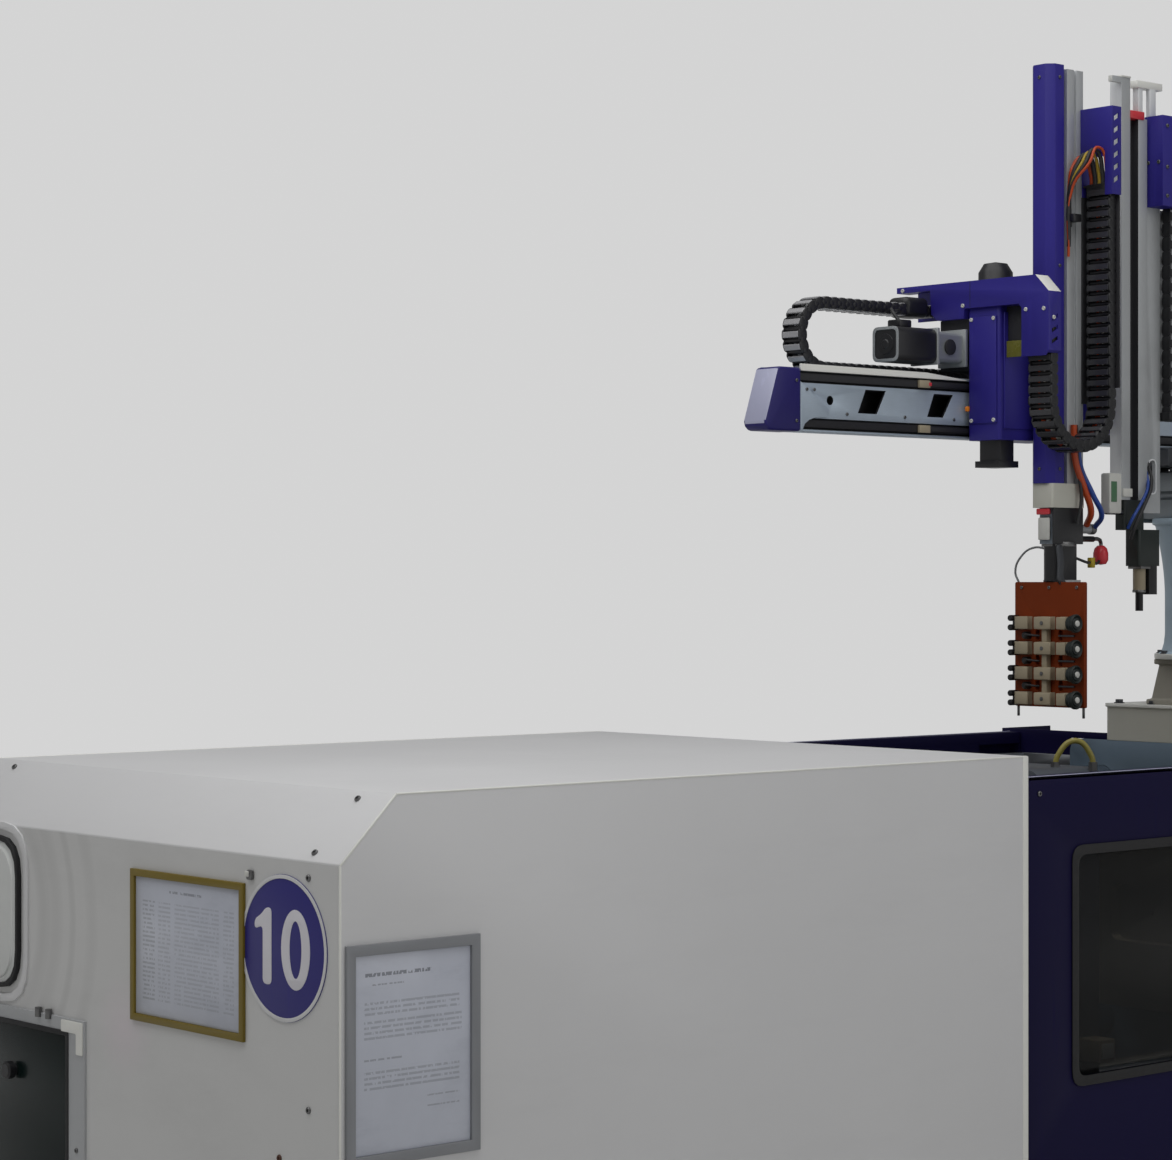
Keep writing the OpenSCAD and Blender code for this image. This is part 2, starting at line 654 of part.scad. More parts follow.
module hopper_gate() color([0.66, 0.67, 0.69]) {
  translate([hopper_x, 0, 0]) difference() {
    along_z(gate_z + run_clear, gate_z + gate_t - run_clear) union() {
      span(-190, 58, -54, 54);
      span(-190, -170, -70, 70);
    }
    rod_z(gate_z - 1, gate_z + gate_t + 1, 0, 0, throat_r);
  }
  box(hopper_x - 192, hopper_x - 182, -30, 30, gate_z - 16, gate_z + gate_t + 16);
}
module screw_drive() color([0.34, 0.36, 0.40]) {
  difference() {
    along_x(x_drive, x_drive + drive_t) soft_span(-280, 280, axis_z - 85, axis_z + 85, 40);
    for (y = [-injection_cyl_y, injection_cyl_y]) rod_x(x_drive - 1, x_drive + drive_t + 1, y, axis_z,
        30 + run_clear);
    rod_x(x_drive - 1, x_drive + 61, 0, axis_z, screw_r + run_clear);
  }
  rod_x(x_drive + drive_t, x_drive + drive_t + 130, 0, axis_z, drive_motor_r);
  along_x(x_drive + drive_t + 130, x_drive + drive_t + 160) soft_span(-60, 60, axis_z - 60,
      axis_z + 60, 15);
  for (y = [-injection_cyl_y, injection_cyl_y]) difference() {
    rod_x(x_drive - 150, x_drive, y, axis_z, injection_cyl_r);
    rod_x(x_drive - 151, x_drive + 1, y, axis_z, 30 + run_clear);
  }
}
flight_n = 16;
module screw() color([0.70, 0.70, 0.72]) {
  core_r = screw_r - 6;
  tip = x_barrel + 10;
  rod_x(tip + 30, x_drive + 58, 0, axis_z, core_r);
  translate([tip, 0, axis_z]) rotate([0, 90, 0]) cylinder(h = 30, r1 = 3, r2 = core_r);
  pitch = (x_feed_back - tip - 60) / flight_n;
  for (i = [0:flight_n - 1]) translate([tip + 40 + i * pitch, 0, axis_z]) rotate([0, 90, 0]) {
    cylinder(h = 6, r = screw_r);
  }
  rod_x(x_feed_back + 20, x_drive + 58, 0, axis_z, screw_r - 0.5);
}

// Pump and control panel
pump_x = x_feed_back + 290;
pump_y = 0;
pump_z = base_top + 135;
module pump_unit() color([0.36, 0.40, 0.46]) {
  difference() {
    rod_x(pump_x - 220, pump_x + 120, pump_y, pump_z, 112);
    for (i = [0:17]) translate([0, pump_y, pump_z]) rotate([i * 20, 0, 0])
      box(pump_x - 200, pump_x + 90, -3.5, 3.5, 100, 120);
  }
  rod_x(pump_x + 120, pump_x + 180, pump_y, pump_z, 70);
  along_x(pump_x + 180, pump_x + 260) soft_span(pump_y - 55, pump_y + 55, pump_z - 55, pump_z + 55, 15);
  rod_x(pump_x - 250, pump_x - 220, pump_y, pump_z, 104);
  box(pump_x - 180, pump_x + 80, pump_y - 90, pump_y + 90, base_top, pump_z - 90);
}
panel_x = x_fixed_back + 330;
panel_w = 360;
panel_z0 = 1090;
panel_z1 = 1570;
panel_y = y_side - 20;
module control_panel() color([0.78, 0.79, 0.80]) {
  difference() {
    along_x(panel_x, panel_x + panel_w)
      polygon([[-panel_y - 60, panel_z0], [-panel_y + 60, panel_z0], [-panel_y + 60, panel_z1],
          [-panel_y - 20, panel_z1],
        [-panel_y - 60, panel_z1 - 40]]);
    along_y(-panel_y - 61, -panel_y - 52) soft_span(panel_x + 40, panel_x + panel_w - 40,
        panel_z0 + 190, panel_z1 - 60, 10);
    rod_y(-panel_y - 61, -panel_y - 30, stop_x, stop_z, 12);
  }
  for (r = [0:2], c = [0:6]) along_y(-panel_y - 63, -panel_y - 60)
    soft_span(panel_x + 40 + c * 32, panel_x + 64 + c * 32, panel_z0 + 50 + r * 36,
        panel_z0 + 74 + r * 36, 4);
  along_z(base_top, panel_z0 + 40) difference() {
    soft_span(panel_x + panel_w / 2 - 45, panel_x + panel_w / 2 + 45, -panel_y + 60, -panel_y + 140, 10);
    soft_span(panel_x + panel_w / 2 - 40, panel_x + panel_w / 2 + 40, -panel_y + 65, -panel_y + 135, 8);
  }
}
module control_screen() color([0.10, 0.14, 0.20]) {
  along_y(-panel_y - 58, -panel_y - 52) soft_span(panel_x + 40, panel_x + panel_w - 40, panel_z0 + 190,
      panel_z1 - 60, 10);
}
stop_x = panel_x + panel_w - 50;
stop_z = panel_z0 + 60;
module stop_button() color([0.75, 0.08, 0.06]) {
  rod_y(-panel_y - 75, -panel_y - 41, stop_x, stop_z, 11);
  rod_y(-panel_y - 92, -panel_y - 70, stop_x, stop_z, 22);
}

// Robot base on the fixed platen
block_y0 = -330;
block_y1 = 247;
module robot_block() color([0.44, 0.44, 0.41]) {
  along_y(block_y0, block_y1) {
    span(x_fixed, x_fixed_back, z_platen_top, block_top - 8);
    span(x_fixed - 6, x_fixed_back + 6, block_top - 8, block_top);
  }
}
riser_x = x_fixed + fixed_t / 2;
riser_y = 60;
module foot_side(half_low, half_top) {
  polygon([[-half_low, block_top], [half_low, block_top], [half_low, block_top + 12], [half_low - 8,
      block_top + 12],
    [half_top, z_riser_top - 12], [half_top + 8, z_riser_top - 12], [half_top + 8, z_riser_top],
    [-half_top - 8, z_riser_top], [-half_top - 8, z_riser_top - 12], [-half_top, z_riser_top - 12],
    [8 - half_low, block_top + 12], [-half_low, block_top + 12]]);
}
module robot_riser() color([0.42, 0.41, 0.38]) {
  half_low = 84;
  half_top = 64;
  intersection() {
    along_x(riser_x - half_low, riser_x + half_low) translate([riser_y, 0]) foot_side(half_low, half_top);
    along_y(riser_y - half_low, riser_y + half_low) translate([riser_x, 0]) foot_side(half_low, half_top);
  }
}
// Waisted column between the foot and the traverse beam
waist_r = 77;
column_r = 98;
function column_radius(t) = waist_r + (column_r - waist_r) * pow(max(0, t - 0.45) / 0.55, 1.8)
  + 8 * pow(max(0, 0.15 - t) / 0.15, 2);
module robot_column() color([0.62, 0.69, 0.74]) {
  z0 = z_riser_top + 14;
  z1 = traverse_low - 14;
  translate([riser_x, riser_y, 0]) rotate_extrude($fn = 96) polygon(concat(
    [[0, z_riser_top], [waist_r + 14, z_riser_top], [waist_r + 14, z0]],
    [for (i = [0:14]) [column_radius(i / 14), z0 + (z1 - z0) * i / 14]],
    [[column_r + 6, z1], [column_r + 6, traverse_low], [0, traverse_low]]));
}
traverse_y0 = -traverse_reach;
traverse_y1 = 168;
traverse_w = 140;
module traverse_beam() color([0.58, 0.60, 0.62]) {
  along_y(traverse_y0, traverse_y1) difference() {
    span(riser_x - traverse_w / 2, riser_x + traverse_w / 2, traverse_low, z_traverse);
    for (s = [-1, 1]) {
      translate([riser_x + s * traverse_w / 2, traverse_low + 50]) circle(9);
      translate([riser_x + s * traverse_w / 2 - s * 12, 0]) span(-3, 3, z_traverse - 8, z_traverse + 1);
    }
  }
  for (y = [traverse_y0 - 24, traverse_y1]) along_y(y, y + 24)
    soft_span(riser_x - traverse_w / 2 - 8, riser_x + traverse_w / 2 + 8, traverse_low - 8,
        z_traverse + 8, 12);
}

// Places on the robot
arm_x = x_fixed - arm_out;
arm_y = -arm_set;
arm_side = arm_w / 2;
cover_d = 59;
cover_front = arm_y - cover_d / 2;
carriage_x0 = arm_x - 111;
carriage_x1 = arm_x + 74;
carriage_front = arm_y + 32;
carriage_top = 2256;
profile_w = 50;
profile_x = arm_x + arm_side + profile_w / 2 + 1;
profile_front = arm_y - profile_w / 2;

// Kick beam and what rides on it
kick_back = kick_y + kick_w;
kick_x0 = arm_x - 587;
kick_x1 = riser_x + 130;
carriage_y0 = kick_y - 30;
carriage_y1 = kick_back + 20;
tray_x0 = kick_x0 + 43;
tray_w = 98;
recess_t = 22;
rail_set = 12;
plate_low = kick_low + 28;
plate_top = z_kick_top - 29;
module traverse_carriage() color([0.36, 0.37, 0.39]) {
  along_y(carriage_y0, carriage_y1) difference() {
    soft_span(riser_x - 110, riser_x + 110, z_traverse + 10, kick_low, 6);
    translate([riser_x, z_traverse + 10]) circle(14);
  }
  for (x = [-42, 42], y = [carriage_y0 + 8, carriage_y1 - 38])
    along_y(y, y + 30) span(riser_x + x - 16, riser_x + x + 16, z_traverse + run_clear, z_traverse + 10);
}
// Section of the kick beam with its two rail recesses
module beam_section() {
  wall = 6;
  difference() {
    span(kick_y, kick_back, kick_low, z_kick_top);
    span(kick_y + wall, kick_back - wall, plate_low + wall, plate_top - wall);
    span(kick_y + rail_set + wall, kick_back - wall, kick_low + wall, plate_low - 2);
    span(kick_y + rail_set + wall, kick_back - wall, plate_top + 2, z_kick_top - wall);
    for (z = [plate_low - recess_t - 2, plate_top + 2]) span(kick_y - 1, kick_y + rail_set, z,
        z + recess_t);
  }
  for (z = [plate_low - recess_t + 2, plate_top + 6]) span(kick_y - 1, kick_y + rail_set + 1, z, z + 14);
}
module kick_beam() color([0.60, 0.66, 0.72]) {
  slots = [[163, 217, 185, 243], [363, 410, 383, 440]];
  difference() {
    along_x(kick_x0, kick_x1) beam_section();
    for (s = slots) along_y(kick_y - 1, kick_y + 7) polygon([[kick_x0 + s[0], plate_low + 12],
      [kick_x0 + s[1], plate_low + 12], [kick_x0 + s[3], plate_top - 5], [kick_x0 + s[2], plate_top - 5]]);
    rod_y(kick_y - 1, kick_y + 7, kick_x0 + 85, plate_low + 34, 9);
  }
  along_y(kick_y - 4, kick_y) translate([kick_x0, 0]) polygon([[0, kick_low + 2], [6, kick_low + 2],
      [12, kick_low + 14],
    [24, plate_low - 6], [44, plate_low], [72, plate_low], [80, plate_low + 14], [0, plate_top + 4]]);
  along_x(tray_x0, riser_x - 80) {
    span(kick_back, kick_back + tray_w, z_kick_top - 1, z_kick_top + 2);
    span(kick_back + tray_w - 3, kick_back + tray_w, z_kick_top + 2, z_kick_top + 12);
    span(kick_back, kick_back + 3, z_kick_top - 30, z_kick_top - 1);
  }
}
module kick_cap() color([0.36, 0.34, 0.60]) {
  lean = 33;
  cap_back = kick_back + 4;
  along_y(kick_y - 6, cap_back) translate([kick_x0 - cap_l, 0]) polygon([[12, kick_low - 1], [cap_l,
      kick_low - 1],
    [cap_l, z_kick_top + 1], [lean + 4, z_kick_top + 1], [lean, z_kick_top - 3], [0, kick_low + 18],
        [2, kick_low + 7]]);
}

// Links of a cable chain that runs out along u, turns and comes back above
link_pitch = 30;
link_h = 23;
function chain_place(d, leg, r) = d < leg ? [d, 0, 0]
  : d < leg + PI * r ? let (a = (d - leg) / r * 180 / PI) [leg + r * sin(a), r - r * cos(a), a]
  : [leg - (d - leg - PI * r), 2 * r, 180];
module chain_link(w) {
  rotate([90, 0, 0]) {
    linear_extrude(w, center = true) square([link_pitch - 10, link_h], center = true);
    translate([link_pitch / 2, 0]) cylinder(h = w - 10, r = link_h / 2 - 3, center = true, $fn = 16);
  }
}
module cable_chain(leg, r, back, w) {
  total = leg + PI * r + back;
  n = floor(total / link_pitch);
  for (i = [0:n - 1]) let (p = chain_place((i + 0.5) * total / n, leg, r))
    translate([p[0], 0, p[1]]) rotate([0, -p[2], 0]) chain_link(w);
}
chain_w = 50;
kick_chain_r = 65;
kick_chain_y = kick_back + 63;
kick_chain_z = z_kick_top + 2 + link_h / 2;
kick_chain_turn = arm_x - 420;
kick_chain_fixed = arm_x + 40;
hood_x0 = carriage_x0 - 9;
hood_x1 = hood_x0 + 38;
hood_top = carriage_top + 55;
leg_y0 = arm_y - 102;
leg_y1 = arm_y - 32;
leg_low = carriage_top - 106;
wall_t = 3;
module kick_chain() color([0.10, 0.10, 0.11]) {
  translate([kick_chain_fixed, kick_chain_y, kick_chain_z]) mirror([1, 0, 0])
    cable_chain(kick_chain_fixed - kick_chain_turn, kick_chain_r, hood_x1 - 13 - kick_chain_turn, chain_w);
}

// The arm carriage runs on the beam's front, its motor and gearbox lie over the beam
motor_y = kick_y + 28;
motor_z = carriage_top - 80;
lift_motor = [arm_x - 45, kick_y - 24];
module main_carriage() color([0.18, 0.16, 0.42]) {
  along_z(kick_low - 5, carriage_top) soft_span(carriage_x0, carriage_x1, carriage_front, kick_y - 7, 8);
  for (z = [plate_low - recess_t - 1, plate_top + 3], x = [carriage_x0 + 12, carriage_x1 - 72])
    box(x, x + 60, kick_y - 8, kick_y - 1 - run_clear, z, z + recess_t - 2);
  box(carriage_x0 + 6, carriage_x1 - 40, kick_y - 8, kick_back + 20, motor_z - 44, carriage_top - 20);
  along_x(carriage_x0 - 85, carriage_x0 + 7) soft_span(motor_y - 30, motor_y + 30, motor_z - 30,
      motor_z + 30, 8);
  along_x(carriage_x0 - 204, carriage_x0 - 85) soft_span(motor_y - 35, motor_y + 35, motor_z - 35,
      motor_z + 35, 14);
  for (z = [kick_low + 10, carriage_top - 60], x = [-17, 17])
    box(profile_x + x - 8, profile_x + x + 8, profile_front + profile_w + run_clear,
        carriage_front + 1, z, z + 50);
  translate([lift_motor[0], lift_motor[1], 0]) rotate_extrude($fn = 40)
    polygon([[0, carriage_top - 1], [35, carriage_top - 1], [35, carriage_top + 76], [24,
        carriage_top + 94], [0, carriage_top + 98]]);
  box(carriage_x0 + 11, carriage_x0 + 51, carriage_front + 8, kick_y - 30, kick_low - 48, kick_low - 4);
  box(carriage_x0 + 1, carriage_x0 + 61, carriage_front + 4, kick_y - 26, kick_low - 60, kick_low - 47);
}
module hood_outline() {
  polygon([[kick_back + 128, hood_top - 12], [kick_back + 128, hood_top], [leg_y0 + 34, hood_top],
      [leg_y0, hood_top - 34],
    [leg_y0, leg_low + 10], [leg_y0 + 8, leg_low], [leg_y1, leg_low], [leg_y1, carriage_top - 8],
        [leg_y1 + 8, carriage_top],
    [kick_y - 6, carriage_top], [kick_y - 4, carriage_top - 20], [kick_back + 16, carriage_top - 20],
    [kick_back + 32, carriage_top - 6], [kick_back + 36, hood_top - 12]]);
}
module main_hood() color([0.26, 0.23, 0.52]) {
  difference() {
    along_x(hood_x0, hood_x1) hood_outline();
    along_x(hood_x0 + wall_t, hood_x1 + 1) offset(delta = -wall_t) hood_outline();
    box(hood_x0 + wall_t, hood_x1 + 1, leg_y0 + 4, leg_y1 - 4, leg_low - 1, leg_low + 12);
    for (z = [0:2]) along_y(leg_y0 - 1, leg_y0 + wall_t + 1) translate([hood_x0 + 10,
        leg_low + 22 + 22 * z])
      polygon([[0, 0], [18, 9], [18, 17], [0, 8]]);
  }
  box(hood_x1 - 4, hood_x1, kick_back + 33, kick_back + 100, motor_z + 64, hood_top - 1);
  box(hood_x0 + 1, hood_x1, leg_y0 + 1, leg_y1 - 1, arm_chain_end + 9, arm_chain_end + 15);
}
arm_foot = arm_low - 49;
wrist_low = wrist_z + 74;
wrist_x = arm_x + 32.5;
lug_w = 30;
module slot_profile(w) {
  difference() {
    square(w, center = true);
    for (a = [0:90:270]) rotate(a) translate([w / 2, 0]) square([10, 8], center = true);
  }
}
// Chain of the main arm, its fixed leg in the hood and its other leg on the arm
arm_chain_r = 90;
arm_chain_x = hood_x0 + 25 + 2 * arm_chain_r;
arm_chain_w = 60;
arm_chain_y = (leg_y0 + leg_y1) / 2;
arm_chain_low = 2064;
arm_chain_top = 2500;
arm_chain_back = 137;
arm_chain_end = arm_chain_low + arm_chain_back;
box_x0 = arm_chain_x - 15;
box_low = arm_chain_top - 17;
box_top = box_low + 178;
module arm_chain() color([0.10, 0.10, 0.11]) {
  translate([arm_chain_x, arm_chain_y, arm_chain_top]) rotate([0, 90, 0]) rotate([180, 0, 0])
    cable_chain(arm_chain_top - arm_chain_low, arm_chain_r, arm_chain_back, arm_chain_w);
}
module main_arm() color([0.55, 0.57, 0.59]) {
  x0 = profile_x - profile_w / 2;
  x1 = profile_x + profile_w / 2;
  y1 = profile_front + profile_w;
  tray_y0 = leg_y0 - 1;
  along_z(arm_foot, arm_high - 6) translate([profile_x, arm_y]) slot_profile(profile_w);
  tray_x = arm_chain_x + link_h / 2;
  along_z(arm_chain_low + link_pitch, arm_chain_top + 6) span(tray_x, tray_x + 3, tray_y0,
      profile_front - 4);
  along_z(arm_chain_low, box_low) span(x1 - 6, tray_x + 3, profile_front - 4, profile_front);
  box(arm_chain_x - 11, tray_x + 1, tray_y0 + 4, profile_front - 4, arm_chain_top + 2, arm_chain_top + 6);
  along_z(arm_foot, arm_low) soft_span(x0 - 50, x1, cover_front, y1, 5);
  along_z(wrist_low + 75, arm_foot) soft_span(x0 - 38, x1 - 6, cover_front + 4, y1 - 4, 12);
  along_z(wrist_low, wrist_low + 75) soft_span(x0 - 30, x1 - 8, cover_front + 6, y1 - 6, 16);
  for (s = [-1, 1]) along_y(arm_y + s * 22 - 6, arm_y + s * 22 + 6) difference() {
    union() {
      span(wrist_x - 15, wrist_x + 35, wrist_z, wrist_low + 2);
      translate([wrist_x, wrist_z]) circle(15);
    }
    translate([wrist_x, wrist_z]) circle(6.3);
  }
  rod_x(x1 - 9, x1 + 62, arm_y, wrist_low + 106, 9);
  rod_x(x1 - 9, x1 + 62, arm_y, wrist_low + 86, 6);
}
// Cover of the main arm and the slotted box over its chain's end
module cover_section(inset) {
  chamfer = 14;
  a = arm_side - inset;
  b = cover_d / 2 - inset;
  translate([arm_x, arm_y]) polygon([[-a, -b + chamfer], [-a + chamfer, -b], [a - chamfer, -b], [a,
      -b + chamfer],
    [a, b - chamfer], [a - chamfer, b], [-a + chamfer, b], [-a, b - chamfer]]);
}
module main_arm_cover() color([0.18, 0.16, 0.42]) {
  difference() {
    along_z(arm_low, arm_high) cover_section(0);
    along_z(arm_low - 1, arm_high - wall_t) cover_section(wall_t);
  }
  for (z = [arm_low + 40, arm_high - 120])
    box(arm_x - arm_side + 2, profile_x - profile_w / 2, arm_y - 14, arm_y + 14, z, z + 50);
  difference() {
    box(box_x0, box_x0 + 29, leg_y0 - 5, profile_front, box_low, box_top);
    box(box_x0 + wall_t, box_x0 + 30, leg_y0 - 2, profile_front - wall_t, box_low - 1, box_top - wall_t);
    box(box_x0 - 1, box_x0 + wall_t + 1, leg_y0 + 14, profile_front + 1, box_low - 1, box_low + 78);
    for (z = [0:5]) along_y(leg_y0 - 6, leg_y0 - 1) translate([box_x0 + 6, box_low + 22 + 25 * z])
      polygon([[0, 0], [14, 8], [14, 18], [0, 10]]);
  }
}

// Gripper plate with three rows of four gripping units
unit_pitch_y = 60;
unit_pitch_z = 51;
grip_plate_t = 10;
module gripper() color([0.42, 0.15, 0.08]) {
  x1 = wrist_x - 20;
  x0 = x1 - grip_plate_t;
  z1 = wrist_z + 72;
  z0 = z1 - plate_h;
  along_x(x0, x1) difference() {
    soft_span(arm_y - plate_w / 2, arm_y + plate_w / 2, z0, z1, 4);
    for (y = [-1, 1], r = [0:2]) soft_span(arm_y + y * unit_pitch_y / 2 - 6,
        arm_y + y * unit_pitch_y / 2 + 6,
      z0 + 32 + r * unit_pitch_z, z0 + 54 + r * unit_pitch_z, 5);
  }
  along_y(arm_y - lug_w / 2, arm_y + lug_w / 2) union() {
    span(x1 - 1, wrist_x, wrist_z - 12, wrist_z + 12);
    translate([wrist_x, wrist_z]) circle(12);
  }
  rod_y(arm_y - 28, arm_y + 28, wrist_x, wrist_z, 6);
  for (c = [-1:1], r = [0:3]) translate([x0, arm_y + c * unit_pitch_y, z0 + 17 + r * unit_pitch_z]) {
    translate([-18, -16, -13]) cube([18.5, 32, 26]);
    rod_x(-30, -17, 0, 0, 9);
    translate([-40, 0, 0]) rotate([0, 90, 0]) cylinder(h = 12, r1 = 12, r2 = 8);
  }
}

// Sub arm: two rails with a dark groove between them, its chain in a tray beside it
sub_x = x_fixed - sub_out;
sub_y = arm_y - 27;
sub_w = 83;
sub_d = 30;
sub_back = sub_y + sub_d / 2;
sub_carriage_low = kick_low + 17;
sub_carriage_top = sub_carriage_low + 220;
module sub_carriage() color([0.18, 0.16, 0.42]) {
  along_z(sub_carriage_low, sub_carriage_top) soft_span(sub_x - 42, sub_x + 52, sub_back + 12,
      kick_y - 7, 8);
  for (z = [plate_low - recess_t - 1, plate_top + 3])
    box(sub_x - 34, sub_x + 44, kick_y - 8, kick_y - 1 - run_clear, z, z + recess_t - 2);
  for (z = [sub_carriage_low + 20, sub_carriage_top - 50])
    box(sub_x - 30, sub_x + 30, sub_back + run_clear, sub_back + 13, z, z + 30);
}
module sub_arm() color([0.60, 0.62, 0.64]) {
  x0 = sub_x - sub_w / 2;
  x1 = sub_x + sub_w / 2;
  y0 = sub_y - sub_d / 2;
  plate_x1 = x1 + 53;
  along_z(sub_low, sub_high - 80) difference() {
    span(x0, x1, y0, sub_back);
    span(x0 + 28, x1 - 29, y0 - 1, y0 + 16);
  }
  along_z(sub_high - 81, sub_high) span(x0, x0 + 28, y0, sub_back);
  box(x0 - 30, x0 + 28, y0, y0 + 10, sub_high - 12, sub_high);
  along_y(y0 + 8, y0 + 16) difference() {
    span(x1 - 1, plate_x1, sub_low - 26, sub_high - 98);
    soft_span(x1 + 17, x1 + 37, sub_low + 15, sub_low + 84, 9.9);
  }
  along_z(sub_high - 700, sub_high - 262) {
    span(plate_x1 - 1, plate_x1 + 52, y0 + 12, y0 + 16);
    span(plate_x1 + 48, plate_x1 + 52, y0 - 20, y0 + 13);
  }
  box(x1 + 7, x1 + 112, y0 - 35, y0 + 12, sub_high - 260, sub_high - 73);
  along_z(sub_low - 62, sub_low) soft_span(x0 + 14, x0 + 80, y0 + 4, sub_back, 5);
  along_z(sub_low - 136, sub_low - 61) soft_span(x0 + 52, x0 + 122, y0 - 4, sub_back + 4, 6);
  rod_z(sub_low - 191, sub_low - 135, x0 + 76, y0 + 15, 13);
  box(x0 + 92, x0 + 118, y0 + 2, sub_back - 2, sub_low - 195, sub_low - 135);
  rod_z(sub_low - 229, sub_low - 190, x0 + 76, y0 + 15, 8);
}

base_frame();
levelling_feet();
base_panels();
bed_rails();
top_cover();
side_panel_front();
side_panel_rear();
end_panel();
end_hatch();
end_window_frame();
end_window_pane();
side_notice_frame();
end_notice_frame();
notice_sheets();
number_plate();
fixed_platen();
rear_platen();
tie_bars();
tie_bar_nuts();
clamp_cylinder();
mould_fixed_half();
door_rails();
moving_platen();
clamp_ram();
mould_moving_half();
ejector_plate();
front_door();
front_door_window();
rear_door();
rear_door_window();
rear_return_guard();
injection_carriage();
barrel();
heater_bands();
barrel_guard();
hopper();
hopper_lid();
hopper_gate();
screw_drive();
screw();
pump_unit();
control_panel();
control_screen();
stop_button();
robot_block();
robot_riser();
robot_column();
traverse_beam();
traverse_carriage();
kick_beam();
kick_cap();
kick_chain();
main_carriage();
main_hood();
main_arm();
main_arm_cover();
arm_chain();
gripper();
sub_carriage();
sub_arm();
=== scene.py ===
"""Looks of an injection moulding machine with a take-out robot. Metres, X along the machine, Z up."""

import json
import math

import bpy
from mathutils import Matrix, Vector

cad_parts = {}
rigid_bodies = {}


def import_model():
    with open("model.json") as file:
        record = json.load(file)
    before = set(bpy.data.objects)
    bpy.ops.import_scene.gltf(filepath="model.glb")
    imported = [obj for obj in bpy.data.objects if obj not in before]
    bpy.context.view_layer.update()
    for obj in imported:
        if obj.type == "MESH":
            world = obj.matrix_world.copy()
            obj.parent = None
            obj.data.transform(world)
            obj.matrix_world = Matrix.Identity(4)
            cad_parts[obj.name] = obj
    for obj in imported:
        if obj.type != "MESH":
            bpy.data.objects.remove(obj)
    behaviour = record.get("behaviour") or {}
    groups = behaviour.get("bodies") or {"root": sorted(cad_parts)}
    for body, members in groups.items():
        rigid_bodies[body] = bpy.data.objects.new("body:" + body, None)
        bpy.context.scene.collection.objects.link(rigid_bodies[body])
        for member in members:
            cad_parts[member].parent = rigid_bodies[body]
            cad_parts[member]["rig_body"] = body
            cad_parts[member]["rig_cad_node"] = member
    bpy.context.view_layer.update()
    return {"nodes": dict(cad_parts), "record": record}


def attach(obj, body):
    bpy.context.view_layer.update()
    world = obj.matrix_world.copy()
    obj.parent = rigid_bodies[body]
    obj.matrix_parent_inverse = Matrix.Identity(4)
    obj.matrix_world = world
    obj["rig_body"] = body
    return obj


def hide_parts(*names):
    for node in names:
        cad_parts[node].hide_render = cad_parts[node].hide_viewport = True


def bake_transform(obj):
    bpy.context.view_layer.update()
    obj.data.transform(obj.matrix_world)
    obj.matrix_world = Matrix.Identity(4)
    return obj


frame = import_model()

# Measures of the machine
END_X = -2.4
SIDE_Y = 0.5625
COVER_X = -0.922
COVER_TOP = 1.4
SLANT_RUN = 0.1
SLANT_DROP = 0.0965
PLATE_FACE = (END_X - 0.0019, -0.4275, 1.1735)
COLUMN_AXIS = (0.38, 0.06)
FLANGE_TOP = 1.5455
CUP_PITCH = 0.051
CUP_ROWS = [1.466 + CUP_PITCH * row for row in range(4)]
MOULD_AXIS_Z = 1.0
PANEL_FACE_Y = -0.6024
WINDOW_FRAME_X = END_X - 0.0049
KEY_CORNER = (0.84, 1.14)
KEY_PITCH = (0.032, 0.036)
HEATER_START_X = 0.56
HEATER_PITCH = 0.1183

# Directions, a box round everything, and how near points are when they are joined
TO_END, TO_FRONT, TO_REAR, TO_DRIVE, UP = (-1, 0, 0), (0, -1, 0), (0, 1, 0), (1, 0, 0), (0, 0, 1)
EVERYWHERE = ((-3, -3, 0), (3, 3, 3))
WELD = 1e-6


def maths(operation, swapped=False):
    """An operator between two values that adds one maths node"""
    def operator(self, other):
        first, second = (other, self) if swapped else (self, other)
        return self.paint.node("ShaderNodeMath", {"operation": operation}, {0: first, 1: second})
    return operator


class Wire:
    """A value in a material's node tree that can be written in a sum."""

    __add__, __radd__ = maths("ADD"), maths("ADD", True)
    __sub__, __rsub__ = maths("SUBTRACT"), maths("SUBTRACT", True)
    __mul__, __rmul__ = maths("MULTIPLY"), maths("MULTIPLY", True)
    __gt__, __lt__ = maths("GREATER_THAN"), maths("LESS_THAN")
    at_most, at_least = maths("MINIMUM"), maths("MAXIMUM")

    def __init__(self, paint, socket):
        self.paint = paint
        self.socket = socket

    def share(self):
        """The value held between 0 and 1"""
        return self.at_least(0.0).at_most(1.0)

    def fract(self):
        return self.paint.node("ShaderNodeMath", {"operation": "FRACT"}, {0: self})


